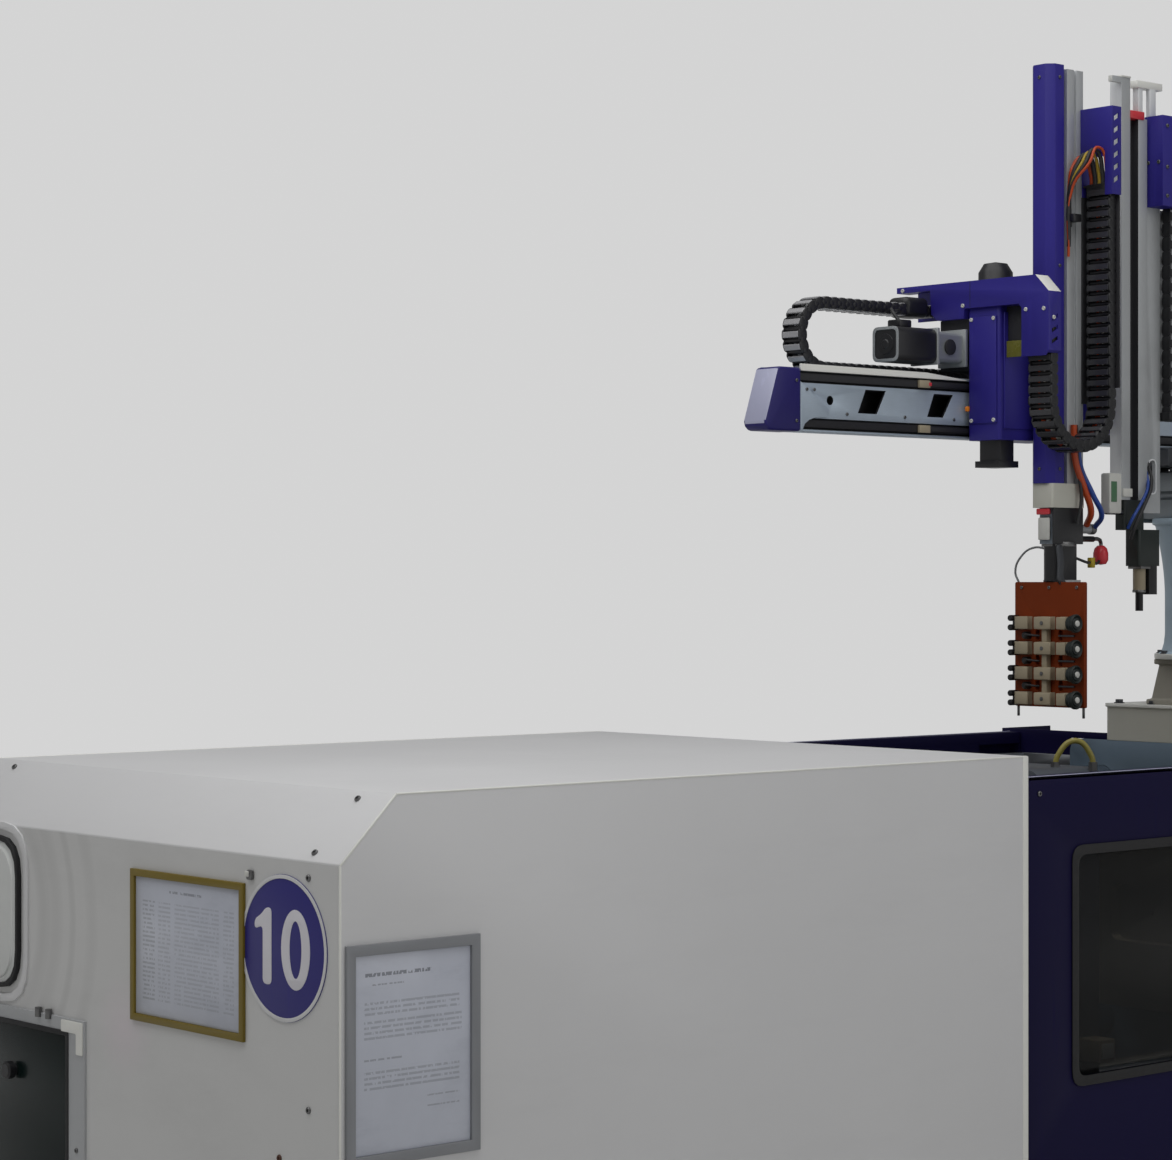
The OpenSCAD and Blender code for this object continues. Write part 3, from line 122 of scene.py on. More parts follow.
class Paint:
    """A material whose nodes are added one by one."""

    def __init__(self, name):
        self.material = bpy.data.materials.new(name)
        self.material.use_nodes = True
        self.tree = self.material.node_tree
        self.surface = self.tree.nodes["Principled BSDF"]
        self.place = self.node("ShaderNodeTexCoord", {}, {}, "Object")

    def node(self, kind, settings, inputs, output=0):
        made = self.tree.nodes.new(kind)
        for key, value in settings.items():
            setattr(made, key, value)
        for key, value in inputs.items():
            self.put(made.inputs[key], value)
        return Wire(self, made.outputs[output])

    def put(self, socket, value):
        if isinstance(value, Wire):
            self.tree.links.new(value.socket, socket)
        elif isinstance(value, tuple) and len(value) == 3 and socket.type == "RGBA":
            socket.default_value = (*value, 1.0)
        else:
            socket.default_value = value

    def set(self, **sockets):
        for key, value in sockets.items():
            self.put(self.surface.inputs[key.replace("_", " ")], value)
        return self

    def noise(self, scale, detail=4.0, roughness=0.55, stretch=(1, 1, 1), place=None):
        at = self.node("ShaderNodeMapping", {}, {"Vector": place or self.place, "Scale": Vector(stretch)})
        settings = {"Vector": at, "Scale": scale, "Detail": detail, "Roughness": roughness}
        return self.node("ShaderNodeTexNoise", {}, settings)

    def mix(self, share, first, second):
        return self.node("ShaderNodeMix", {"data_type": "RGBA"}, {0: share, 6: first, 7: second}, 2)

    def axis(self, letter):
        return self.node("ShaderNodeSeparateXYZ", {}, {0: self.place}, "XYZ".index(letter))

    def distance(self, spot):
        """How far each point of the surface is from a spot"""
        off = self.node("ShaderNodeVectorMath", {"operation": "SUBTRACT"}, {0: self.place, 1: Vector(spot)})
        return self.node("ShaderNodeVectorMath", {"operation": "LENGTH"}, {0: off}, "Value")

    def bump(self, height, strength, distance=0.001):
        return self.node("ShaderNodeBump", {}, {"Height": height, "Strength": strength, "Distance": distance})

    def band(self, value, low, high):
        """1 where value is between low and high"""
        return (value > low) * (value < high)


def colour(code):
    """A written colour such as E2E2E0 as linear red, green and blue"""
    parts = [int(code[i:i + 2], 16) / 255 for i in (0, 2, 4)]
    return tuple(p / 12.92 if p <= 0.04045 else ((p + 0.055) / 1.055) ** 2.4 for p in parts)


def shade(tone, factor):
    return tuple(min(1.0, c * factor) for c in tone)


# Kinds of finish
def sheet_paint(name, code, rough=0.42, grime=0.12, grain=0.05):
    """Sprayed sheet metal: faint mottling and darker smears of dust left by wiping"""
    paint = Paint(name)
    tone = colour(code)
    cloud = paint.noise(1.7, 5)
    smear = paint.noise(2.2, 6, 0.7, (1, 1, 5))
    speck = paint.noise(160, 2)
    dirt = ((smear - 0.5) * 3.2).share() * grime
    base = paint.mix(cloud, shade(tone, 0.93), shade(tone, 1.04))
    base = paint.mix(dirt, base, shade(tone, 0.62))
    paint.set(Base_Color=base, Roughness=cloud * 0.16 + (rough - 0.08) + dirt * 0.8, Coat_Weight=0.0)
    peel = paint.noise(520, 2)
    paint.set(Normal=paint.bump(peel * 0.6 + speck * 0.4, grain, 0.0004))
    return paint.material


def end_sheet_with_shade_rings(name, code):
    """The end's paint: rings of painted shade round the hatch, a faint pink glare and dust"""
    paint = Paint(name)
    tone = colour(code)
    reach = paint.distance((END_X, 0.47, 1.16)) + (paint.noise(3, 3) - 0.5) * 0.02
    shade_arcs = 0.0
    # Radius, width and strength of each ring of painted shade round the hatch
    shade_rings = (0.225, 0.022, 0.8), (0.262, 0.026, 0.6), (0.315, 0.012, 0.7), (0.372, 0.02, 0.45)
    for radius, width, strength in shade_rings:
        away = (reach - radius) * (1 / width)
        shade_arcs = (1.0 - away * away).at_least(0.0) * strength + shade_arcs
    cloud = paint.noise(1.7, 5)
    dust = ((paint.noise(2.6, 6, 0.7, (1, 1, 3)) - 0.48) * 3).share() * 0.18
    base = paint.mix(cloud, shade(tone, 0.94), shade(tone, 1.03))
    # Painted shade: the rings darken the paint round the hatch
    base = paint.mix(shade_arcs.at_most(1.0) * 0.55, base, shade(tone, 0.72))
    base = paint.mix(dust, base, shade(tone, 0.6))
    glow = paint.distance((END_X, 0.0, 1.01))
    base = paint.mix((1.0 - glow * (1 / 0.085)).at_least(0.0) * 0.35, base, colour("E6D2DE"))
    paint.set(Base_Color=base, Roughness=cloud * 0.16 + 0.34 + dust * 0.8)
    paint.set(Normal=paint.bump(paint.noise(520, 2), 0.05, 0.0004))
    return paint.material


def gloss_paint(name, code, rough=0.3, coat=0.25, shine=0.5):
    """Smooth coloured paint with light scratches and finger dust"""
    paint = Paint(name)
    tone = colour(code)
    cloud = paint.noise(3.1, 5)
    scratch = paint.noise(46, 3, 0.6, (1, 1, 0.08))
    marks = ((scratch - 0.62) * 8).share() * 0.35
    base = paint.mix(cloud, shade(tone, 0.86), shade(tone, 1.12))
    base = paint.mix(marks, base, shade(tone, 1.5))
    paint.set(Base_Color=base, Roughness=cloud * 0.2 + (rough - 0.1) + marks * 0.3, Coat_Weight=coat,
              Coat_Roughness=0.25)
    paint.set(Specular_IOR_Level=shine)
    paint.set(Normal=paint.bump(paint.noise(420, 2), 0.06, 0.0004))
    return paint.material


def bare_metal(name, code, rough=0.35, stretch=(1, 30, 30), metallic=1.0):
    """Ground or drawn metal with its grain along one way"""
    paint = Paint(name)
    tone = colour(code)
    grain = paint.noise(60, 4, 0.6, stretch)
    cloud = paint.noise(4, 4)
    base = paint.mix(grain, shade(tone, 0.82), shade(tone, 1.08))
    base = paint.mix(((cloud - 0.52) * 4).at_least(0.0).at_most(0.4), base, shade(tone, 0.7))
    paint.set(Base_Color=base, Metallic=metallic, Roughness=grain * 0.18 + (rough - 0.09) + cloud * 0.08)
    paint.set(Normal=paint.bump(grain, 0.05, 0.0003))
    return paint.material


def casting_paint(name, code, rough=0.55):
    """Painted iron casting with a sandy skin and oily patches"""
    paint = Paint(name)
    tone = colour(code)
    cloud = paint.noise(5, 6, 0.65)
    sand = paint.noise(240, 3, 0.7)
    base = paint.mix(cloud, shade(tone, 0.8), shade(tone, 1.1))
    oily = ((paint.noise(2.4, 5) - 0.55) * 5).at_least(0.0).at_most(0.5)
    base = paint.mix(oily, base, shade(tone, 0.55))
    paint.set(Base_Color=base, Roughness=rough - oily * 0.35 + sand * 0.1)
    paint.set(Normal=paint.bump(sand, 0.25, 0.0012))
    return paint.material


def plastic(name, code, rough=0.45, grain=300):
    """Moulded plastic with a fine spark-eroded skin"""
    paint = Paint(name)
    tone = colour(code)
    cloud = paint.noise(9, 4)
    fine = paint.noise(grain, 2)
    base = paint.mix(cloud, shade(tone, 0.85), shade(tone, 1.12))
    paint.set(Base_Color=base, Roughness=fine * 0.15 + (rough - 0.07))
    paint.set(Normal=paint.bump(fine, 0.12, 0.0004))
    return paint.material


def smoked_pane(name, code, alpha):
    """Smoked sheet that lets a little of the inside through"""
    paint = Paint(name)
    tone = colour(code)
    cloud = paint.noise(2.4, 5)
    haze = paint.noise(7, 6, 0.7)
    base = paint.mix(haze, shade(tone, 0.7), shade(tone, 1.6))
    paint.set(Base_Color=base, Roughness=0.16 + cloud * 0.16, Alpha=alpha, Specular_IOR_Level=0.3)
    return paint.material


def printed_sheet(name, letter, low, high, rows):
    """White sheet in a sleeve with rows of fine grey marks, no writing.
    rows holds (top, bottom, from, to, pitch, strength), the middle two as shares of the width"""
    paint = Paint(name)
    up = paint.axis("Z")
    across = (paint.axis(letter) - low) * (1 / (high - low))
    words = paint.noise(1, 1, 0.5, (230, 230, 70)) > 0.42
    ink = 0.0
    for top, bottom, start, end, pitch, strength in rows:
        line = paint.band(((up - bottom) * (1 / pitch)).fract(), 0.25, 0.72)
        ink = paint.band(up, bottom, top) * paint.band(across, start, end) * line * words * strength + ink
    cloud = paint.noise(14, 4)
    # Creases are painted as faint shade on the sheet
    crease_shade = paint.noise(5, 5, 0.7, (1, 1, 3))
    white = paint.mix(cloud, colour("BCC0CC"), colour("CCD0DC"))
    white = paint.mix(((crease_shade - 0.5) * 3).at_least(0.0).at_most(0.35), white, colour("AEB3C0"))
    base = paint.mix(ink.at_most(0.9), white, colour("4A4E58"))
    paint.set(Base_Color=base, Roughness=cloud * 0.1 + 0.28, Coat_Weight=0.4, Coat_Roughness=0.15)
    return paint.material


def lit_screen(name, low, high):
    """Dark screen with plain coloured fields"""
    paint = Paint(name)
    across = (paint.axis("X") - low[0]) * (1 / (high[0] - low[0]))
    up = (paint.axis("Z") - low[1]) * (1 / (high[1] - low[1]))
    bar = paint.band(up, 0.88, 0.97) * paint.band(across, 0.03, 0.97)
    rows = paint.band((up * 8).fract(), 0.2, 0.75) * paint.band(up, 0.12, 0.82)
    left = rows * paint.band(across, 0.04, 0.42) * 0.5
    right = rows * paint.band(across, 0.5, 0.62) * 0.8
    base = paint.mix(left, colour("101A26"), colour("3E78A8"))
    base = paint.mix(right, base, colour("7FB28A"))
    base = paint.mix(bar, base, colour("2C5C94"))
    paint.set(Base_Color=base, Emission_Color=base, Roughness=paint.noise(6, 4) * 0.1 + 0.12)
    paint.surface.inputs["Emission Strength"].default_value = 0.6
    return paint.material


# Small modelling helpers
def only(piece):
    bpy.ops.object.select_all(action="DESELECT")
    piece.hide_set(False)
    piece.select_set(True)
    bpy.context.view_layer.objects.active = piece
    return piece


def settle(piece):
    """Puts a piece's place, turn and size into its mesh"""
    only(piece)
    bpy.ops.object.transform_apply(location=True, rotation=True, scale=True)
    return piece


def added(name, data):
    piece = bpy.data.objects.new(name, data)
    bpy.context.scene.collection.objects.link(piece)
    return only(piece)


def weld(piece):
    """Joins points that lie on each other and turns every face outwards"""
    only(piece)
    bpy.ops.object.mode_set(mode="EDIT")
    bpy.ops.mesh.select_all(action="SELECT")
    bpy.ops.mesh.remove_doubles(threshold=WELD)
    bpy.ops.mesh.normals_make_consistent(inside=False)
    bpy.ops.object.mode_set(mode="OBJECT")


def apply(piece, kind, **settings):
    only(piece)
    modifier = piece.modifiers.new("shape", kind)
    for key, value in settings.items():
        setattr(modifier, key, value)
    bpy.ops.object.modifier_apply(modifier=modifier.name)
    return piece


def smooth(piece, degrees=35):
    only(piece)
    bpy.ops.object.shade_smooth_by_angle(angle=math.radians(degrees))
    return piece


def block(name, low, high, edge=0.002, rounds=2):
    """A block between two corners with rounded edges"""
    low, high = Vector(low), Vector(high)
    bpy.ops.mesh.primitive_cube_add(size=1, location=(low + high) / 2)
    piece = bpy.context.object
    piece.name = name
    piece.scale = high - low
    settle(piece)
    if edge:
        apply(piece, "BEVEL", width=edge, segments=rounds)
    return smooth(piece)


def drum(name, start, end, radius, sides=32, edge=0.0):
    """A round bar between two points"""
    start, end = Vector(start), Vector(end)
    along = end - start
    bpy.ops.mesh.primitive_cone_add(vertices=sides, radius1=radius, radius2=radius, depth=along.length,
                                    location=(0, 0, 0))
    piece = bpy.context.object
    piece.name = name
    piece.matrix_world = stands((start + end) / 2, along)
    settle(piece)
    if edge:
        apply(piece, "BEVEL", width=edge, segments=2, limit_method="ANGLE", angle_limit=math.radians(40))
    return smooth(piece)


def tube(name, points, radius, sides=10):
    """A hose or wire along a smooth line of points"""
    curve = bpy.data.curves.new(name, "CURVE")
    curve.dimensions = "3D"
    curve.bevel_depth = radius
    curve.bevel_resolution = max(1, sides // 4)
    curve.resolution_u = 6
    curve.use_fill_caps = True
    line = curve.splines.new("BEZIER")
    line.bezier_points.add(len(points) - 1)
    for point, at in zip(line.bezier_points, points):
        point.co = at
        point.handle_left_type = point.handle_right_type = "AUTO"
    added(name, curve)
    bpy.ops.object.convert(target="MESH")
    return smooth(bpy.context.object, 60)


def turned(name, outline, centre, along="Z", sides=40):
    """A round piece spun from its half outline of (radius, height) points"""
    mesh = bpy.data.meshes.new(name)
    mesh.from_pydata([(r, 0, h) for r, h in outline], [(i, i + 1) for i in range(len(outline) - 1)], [])
    piece = added(name, mesh)
    bpy.ops.object.mode_set(mode="EDIT")
    bpy.ops.mesh.select_all(action="SELECT")
    bpy.ops.mesh.spin(steps=sides, angle=math.tau, center=(0, 0, 0), axis=(0, 0, 1))
    bpy.ops.object.mode_set(mode="OBJECT")
    weld(piece)
    turn = {"Z": Matrix.Identity(4), "-X": Matrix.Rotation(-math.pi / 2, 4, "Y"),
            "-Y": Matrix.Rotation(math.pi / 2, 4, "X")}[along]
    piece.matrix_world = Matrix.Translation(centre) @ turn
    settle(piece)
    return smooth(piece)


def copies(name, pattern, places):
    """One piece made of a pattern's copies, each moved by a matrix or a vector"""
    made = []
    for place in places:
        twin = pattern.copy()
        twin.data = pattern.data.copy()
        bpy.context.scene.collection.objects.link(twin)
        move = place if isinstance(place, Matrix) else Matrix.Translation(place)
        twin.data.transform(move)
        made.append(twin)
    bpy.data.objects.remove(pattern)
    return joined(name, made)


def joined(name, pieces):
    bpy.ops.object.select_all(action="DESELECT")
    for piece in pieces:
        piece.select_set(True)
    bpy.context.view_layer.objects.active = pieces[0]
    if len(pieces) > 1:
        bpy.ops.object.join()
    piece = bpy.context.view_layer.objects.active
    piece.name = name
    return piece


def cut(piece, cutter):
    """Takes a cutter's shape out of a piece"""
    apply(piece, "BOOLEAN", operation="DIFFERENCE", object=cutter, solver="EXACT")
    bpy.data.objects.remove(cutter)
    return piece


def rounded(corners, radius, steps=4):
    """A closed outline whose corners are rounded"""
    line = []
    for i, corner in enumerate(corners):
        here, before, after = Vector(corner), Vector(corners[i - 1]), Vector(corners[(i + 1) % len(corners)])
        back, on = before - here, after - here
        first = here + back.normalized() * min(radius, back.length * 0.48)
        last = here + on.normalized() * min(radius, on.length * 0.48)
        for step in range(steps + 1):
            t = step / steps
            line.append((1 - t) ** 2 * first + 2 * t * (1 - t) * here + t * t * last)
    return line


def rectangle(low, high, radius=0.0):
    corners = [(low[0], low[1]), (high[0], low[1]), (high[0], high[1]), (low[0], high[1])]
    return rounded(corners, radius) if radius else [Vector(corner) for corner in corners]


def frame_lines(low, high, width, radius, inner_radius):
    """The two outlines of a flat frame of even width"""
    inner_low, inner_high = (low[0] + width, low[1] + width), (high[0] - width, high[1] - width)
    return [rectangle(low, high, radius), rectangle(inner_low, inner_high, inner_radius)]


def oval(centre, across, up, sides=40):
    turn = [math.tau * i / sides for i in range(sides)]
    return [Vector((centre[0] + across * math.cos(a), centre[1] + up * math.sin(a))) for a in turn]


# Seen from outside, a slab's own across and up directions for each side that it may face
FACING = {
    "-X": Matrix(((0, 0, -1), (-1, 0, 0), (0, 1, 0))),
    "-Y": Matrix(((1, 0, 0), (0, 0, -1), (0, 1, 0))),
    "Y": Matrix(((-1, 0, 0), (0, 0, 1), (0, 1, 0))),
    "Z": Matrix.Identity(3),
}


def slab(name, outlines, at, depth, facing, edge=0.0):
    """A flat piece cut to its outlines, where an inner one is a hole, standing depth out of a point"""
    curve = bpy.data.curves.new(name, "CURVE")
    curve.dimensions = "2D"
    curve.fill_mode = "BOTH"
    curve.extrude = depth / 2 - edge
    curve.bevel_depth = edge
    curve.bevel_resolution = 1
    curve.offset = -edge
    for outline in outlines:
        line = curve.splines.new("POLY")
        line.points.add(len(outline) - 1)
        for point, spot in zip(line.points, outline):
            point.co = (spot[0], spot[1], 0, 1)
        line.use_cyclic_u = True
    added(name, curve)
    bpy.ops.object.convert(target="MESH")
    piece = bpy.context.object
    weld(piece)
    out = Matrix.Translation(Vector(at)) @ FACING[facing].to_4x4()
    piece.matrix_world = out @ Matrix.Translation((0, 0, depth / 2))
    settle(piece)
    return smooth(piece)


def tint(piece, material, low, high, facing=None):
    """Gives the faces whose middles lie between two corners another finish"""
    if piece.data.materials.find(material.name) < 0:
        piece.data.materials.append(material)
    index = piece.data.materials.find(material.name)
    for face in piece.data.polygons:
        inside = all(a <= c <= b for a, c, b in zip(low, face.center, high))
        if inside and (facing is None or face.normal.dot(Vector(facing)) > 0.8):
            face.material_index = index
    return piece


def tint_all(piece, *rows):
    for row in rows:
        tint(piece, *row)


def painted(piece, material):
    piece.data.materials.clear()
    piece.data.materials.append(material)
    return piece


def assembled(name, body, parts):
    """Joins parts that each have a finish of their own, and lets them ride on a body"""
    piece = joined(name, [painted(part, material) for part, material in parts])
    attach(piece, body)
    return piece


def stands(spot, way):
    """The place of a small part that stands on a face"""
    return Matrix.Translation(spot) @ Vector(way).to_track_quat("Z", "Y").to_matrix().to_4x4()


def grid(x, y, z, way):
    """Places for screws that all look one way; each of x, y, z is a number or a row of numbers"""
    xs, ys, zs = [measure if isinstance(measure, (tuple, list)) else (measure,) for measure in (x, y, z)]
    return [((x, y, z), way) for x in xs for y in ys for z in zs]


def screws(name, body, radius, spots, material=None):
    """Socket screws; spots holds (place, direction)"""
    shares = (0, 0.2), (0.42, 0.2), (0.48, 0.6), (0.84, 0.6), (1, 0.38), (1, 0), (0, 0)
    head = turned(name, [(out * radius, up * radius) for out, up in shares], (0, 0, 0), "Z", 16)
    heads = copies(name, head, [stands(*spot) for spot in spots])
    return finish_piece(heads, body, material or screw_metal)


def bolts(name, body, radius, spots):
    """Hexagon bolts on washers; spots holds (place, direction)"""
    washer = drum(name, (0, 0, 0), (0, 0, 0.22 * radius), 1.3 * radius, 20, 0.0004)
    head = drum(name, (0, 0, 0.2 * radius), (0, 0, 0.95 * radius), radius, 6, 0.0006)
    heads = copies(name, joined(name, [washer, head]), [stands(*spot) for spot in spots])
    return finish_piece(heads, body, finishes["dark_steel"])


def finish_piece(piece, body, material):
    painted(piece, material)
    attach(piece, body)
    return piece


# The finish of each slot, then those of the small fittings
finishes = {
    "frame_grey": sheet_paint("dark_frame_paint", "5A5E62", 0.5, 0.35),
    "foot_black": casting_paint("foot_iron", "2E2E30"),
    "panel_white": sheet_paint("cover_paint", "DADADB", 0.4, 0.1),
    "rail_steel": bare_metal("guide_steel", "B4B7BB", 0.3),
    "hatch_grey": plastic("hatch_plastic", "D8DAD8", 0.36),
    "frame_light": sheet_paint("window_frame_paint", "B2B4B6", 0.45, 0.35),
    "pane_dark": smoked_pane("smoked_pane", "101B1A", 0.88),
    "notice_grey": plastic("grey_notice_frame", "8A8C90", 0.4),
    "notice_olive": plastic("olive_notice_frame", "7A6818", 0.45),
    "number_blue": gloss_paint("number_film", "252078", 0.42, 0.05),
    "platen_blue": casting_paint("platen_paint", "6C7E8E", 0.5),
    "platen_grey": casting_paint("moving_platen_paint", "4A4F57", 0.5),
    "ground_steel": bare_metal("hard_chrome", "D2D4D8", 0.16, (1, 20, 20)),
    "dark_steel": bare_metal("dark_steel", "5A5C60", 0.4),
    "mould_steel": bare_metal("mould_steel", "A8A498", 0.32, (20, 1, 20)),
    "door_violet": gloss_paint("door_paint", "141038", 0.5, 0.0, 0.12),
    "unit_grey": casting_paint("unit_paint", "858F99"),
    "barrel_steel": bare_metal("barrel_steel", "6E6A66", 0.42),
    "band_metal": bare_metal("heater_band_metal", "B8B09C", 0.38, (20, 1, 20)),
    "hopper_steel": bare_metal("hopper_stainless", "C4C6CA", 0.26, (1, 1, 30)),
    "pump_grey": casting_paint("motor_paint", "5E6874"),
    "control_grey": sheet_paint("control_panel_paint", "C8CACC", 0.42, 0.12),
    "screen_dark": lit_screen("operating_screen", (0.84, 1.28), (1.12, 1.51)),
    "stop_red": plastic("stop_button_red", "B8201A", 0.3),
    "block_beige": sheet_paint("block_paint", "D2D1C6", 0.5, 0.2),
    "column_blue": casting_paint("column_paint", "BCD0DE", 0.42),
    "foot_grey": casting_paint("foot_casting", "A09C90", 0.5),
    "beam_grey": bare_metal("beam_aluminium", "8E9498", 0.42, (20, 1, 20), 0.7),
    "kick_silver": bare_metal("kick_beam_aluminium", "BCCAD8", 0.4, (1, 20, 20), 0.3),
    "robot_purple": gloss_paint("robot_paint", "302988", 0.42, 0.0, 0.3),
    "cap_lilac": gloss_paint("cap_paint", "28226C", 0.42, 0.0, 0.3),
    "chain_black": plastic("chain_plastic", "1E1E21", 0.42, 200),
    "arm_grey": bare_metal("arm_aluminium", "BCBFC1", 0.42, (20, 20, 1), 0.35),
    "gripper_rust": gloss_paint("gripper_paint", "7C3210", 0.55, 0.0, 0.15),
}
# Pale lilac, used as a painted highlight on violet and purple paint
highlight_lilac = gloss_paint("painted_highlight_lilac", "B4B6D0", 0.42, 0.1)
# Pale paint for pale parts, also used on edge strips and faces as painted highlights
pale_paint_and_highlight = sheet_paint("pale_paint_and_painted_highlight", "ECECE6", 0.4, 0.15)
silver = bare_metal("bright_rail", "F0F2F4", 0.3, (20, 20, 1), 0.25)
black_rubber = plastic("black_rubber", "19191B", 0.6, 90)
beige_block = plastic("beige_fitting", "A89C84", 0.5)
white_plastic = plastic("white_plastic", "D8D8D2", 0.4)
orange_hose = plastic("orange_hose", "C24A1A", 0.35)
blue_hose = plastic("blue_hose", "23489C", 0.35)
red_fitting = plastic("red_fitting", "D83A44", 0.3)
yellow_fitting = plastic("yellow_fitting", "B8A21C", 0.35)
grey_wire = plastic("grey_wire", "8C8E90", 0.4)
screw_metal = bare_metal("screw_metal", "7C7C7C", 0.35)
rusty_screw = casting_paint("rusty_screw", "5A3A2C", 0.6)
cream_film = plastic("cream_film", "DEDCE2", 0.35, 40)
motor_black = plastic("motor_black", "1B1B1E", 0.38, 240)
gear_grey = bare_metal("gearbox_grey", "A8ACAE", 0.4, (1, 8, 8), 0.45)
# Dark plastic for dark parts, also laid on recesses and gaps as painted shade
dark_part_and_shade = plastic("dark_part_and_shade", "242428", 0.6, 80)
chain_bar = plastic("chain_bar", "3A3A3E", 0.22, 160)
# Pale grey for chain crossbars, a painted highlight
highlight_bar = plastic("painted_highlight_chain_bar", "A4A4A6", 0.25, 160)
cable_grey = plastic("cable_grey", "A2A4A6", 0.4)
yellow_cable = plastic("yellow_cable", "B99A2A", 0.4)
cup_green = plastic("cup_rubber", "1C2422", 0.45, 120)
amber = plastic("amber_plastic", "F08A20", 0.3)
olive_hose = plastic("olive_hose", "8E8540", 0.4)
olive_plate = plastic("olive_plate", "6C6A2A", 0.25, 60)
green_bit = plastic("green_fitting", "4E7A58", 0.4)
rubber_hose = plastic("rubber_hose", "2A2A2C", 0.5, 120)
finishes["sheet_white"] = printed_sheet("notice_paper", "X", END_X + 0.024, END_X + 0.235, [
    (1.149, 1.138, 0.09, 0.66, 0.011, 0.7), (1.1315, 1.1265, 0.14, 0.42, 0.005, 0.45),
    (1.108, 1.084, 0.08, 0.9, 0.0075, 0.32), (1.0775, 1.0495, 0.08, 0.92, 0.0075, 0.32),
    (1.025, 1.019, 0.08, 0.4, 0.006, 0.4), (1.0095, 0.9775, 0.08, 0.9, 0.0075, 0.32),
    (0.964, 0.959, 0.62, 0.9, 0.005, 0.35), (0.949, 0.944, 0.62, 0.9, 0.005, 0.35)])
end_paper = printed_sheet("end_notice_paper", "Y", -0.3185, -0.0335, [
    (1.235, 1.227, 0.36, 0.67, 0.008, 0.5), (1.214, 1.06, 0.06, 0.16, 0.0068, 0.2),
    (1.214, 1.06, 0.2, 0.62, 0.0068, 0.2), (1.214, 1.06, 0.66, 0.78, 0.0068, 0.24),
    (1.214, 1.06, 0.81, 0.93, 0.0068, 0.38)])

door_pane = smoked_pane("door_pane", "0A0C0D", 0.6)

slot_of = {part["node"]: part["material_slot"] for part in frame["record"]["subparts"]}
body_of = {node: body for body, nodes in frame["record"]["behaviour"]["bodies"].items() for node in nodes}


def soften(node, width):
    """A copy of a node with the small radii that folding, casting or milling leaves on its edges"""
    piece = frame["nodes"][node].copy()
    piece.data = frame["nodes"][node].data.copy()
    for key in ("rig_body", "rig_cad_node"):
        if key in piece:
            del piece[key]
    piece.parent = None
    bpy.context.scene.collection.objects.link(piece)
    piece.name = node + "_finished"
    only(piece)
    bpy.ops.object.mode_set(mode="EDIT")
    bpy.ops.mesh.select_all(action="SELECT")
    bpy.ops.mesh.remove_doubles(threshold=2 * WELD)
    bpy.ops.mesh.dissolve_limited(angle_limit=math.radians(0.6))
    bpy.ops.object.mode_set(mode="OBJECT")
    if width:
        apply(piece, "BEVEL", width=width, segments=2, limit_method="ANGLE", angle_limit=math.radians(35),
              use_clamp_overlap=True)
    smooth(piece, 32)
    finish_piece(piece, body_of[node], finishes[slot_of[node]])
    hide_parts(node)
    return piece


# Edge radii in metres; what isn't named here has the smallest
SMALLEST_RADIUS = 0.0008
nodes_by_radius = {
    0: "mould_moving_half",
    0.001: "sub_arm main_arm",
    0.0012: "side_panel_front side_panel_rear base_panels",
    0.0015: "traverse_beam kick_beam",
    0.002: "robot_block front_door rear_door clamp_cylinder",
    0.003: "base_frame robot_riser main_carriage main_hood main_arm_cover sub_carriage",
    0.004: "top_cover end_hatch fixed_platen rear_platen moving_platen robot_column control_panel "
           "injection_carriage screw_drive",
    0.005: "kick_cap",
}
edge_radius = {node: radius for radius, nodes in nodes_by_radius.items() for node in nodes.split()}
finished = {node: soften(node, edge_radius.get(node, SMALLEST_RADIUS)) for node in slot_of}
for node in finished:
    painted(frame["nodes"][node], finishes[slot_of[node]])

# Finishes of the regions that share a node
tint(finished["notice_sheets"], end_paper, (-2.42, -0.4, 0.9), (-2.395, 0.1, 1.4))
# The kick cap's end faces are painted pale lilac, a painted highlight on the dark purple
tint(finished["kick_cap"], highlight_lilac, (-0.93, 0, 1.98), (-0.88, 0.2, 2.11), (-0.94, 0, 0.33))
# The robot block's top face is painted pale, a painted highlight of its lit top
tint(finished["robot_block"], pale_paint_and_highlight, (0.2, -0.4, 1.43), (0.5, 0.3, 1.44))
# Painted shade: the kick beam's rail grooves and the hollow between its rails are tinted dark
for rail_low in (1.997, 2.087):
    tint(finished["kick_beam"], dark_part_and_shade, (-0.82, 0.085, rail_low - 0.002), (0.6, 0.13, rail_low + 0.022))
tint(finished["kick_beam"], dark_part_and_shade, (-0.8, 0.0925, 2.02), (0.6, 0.15, 2.086))
for window in ("front_door_window", "rear_door_window"):
    tint(finished[window], door_pane, *EVERYWHERE)
tint_all(
    finished["main_carriage"],
    (motor_black, (-0.56, 0.08, 2.13), (-0.437, 0.16, 2.22)),
    (gear_grey, (-0.437, 0.089, 2.14), (-0.352, 0.151, 2.21)),
    (motor_black, (-0.33, 0.025, 2.2565), (-0.24, 0.11, 2.36)),
    (motor_black, (-0.36, -0.02, 1.92), (-0.28, 0.08, 1.9875)),
    # The carriage's recess beside the rails is tinted dark as painted shade
    (dark_part_and_shade, (-0.35, 0.0845, 1.99), (-0.17, 0.17, 2.25)))
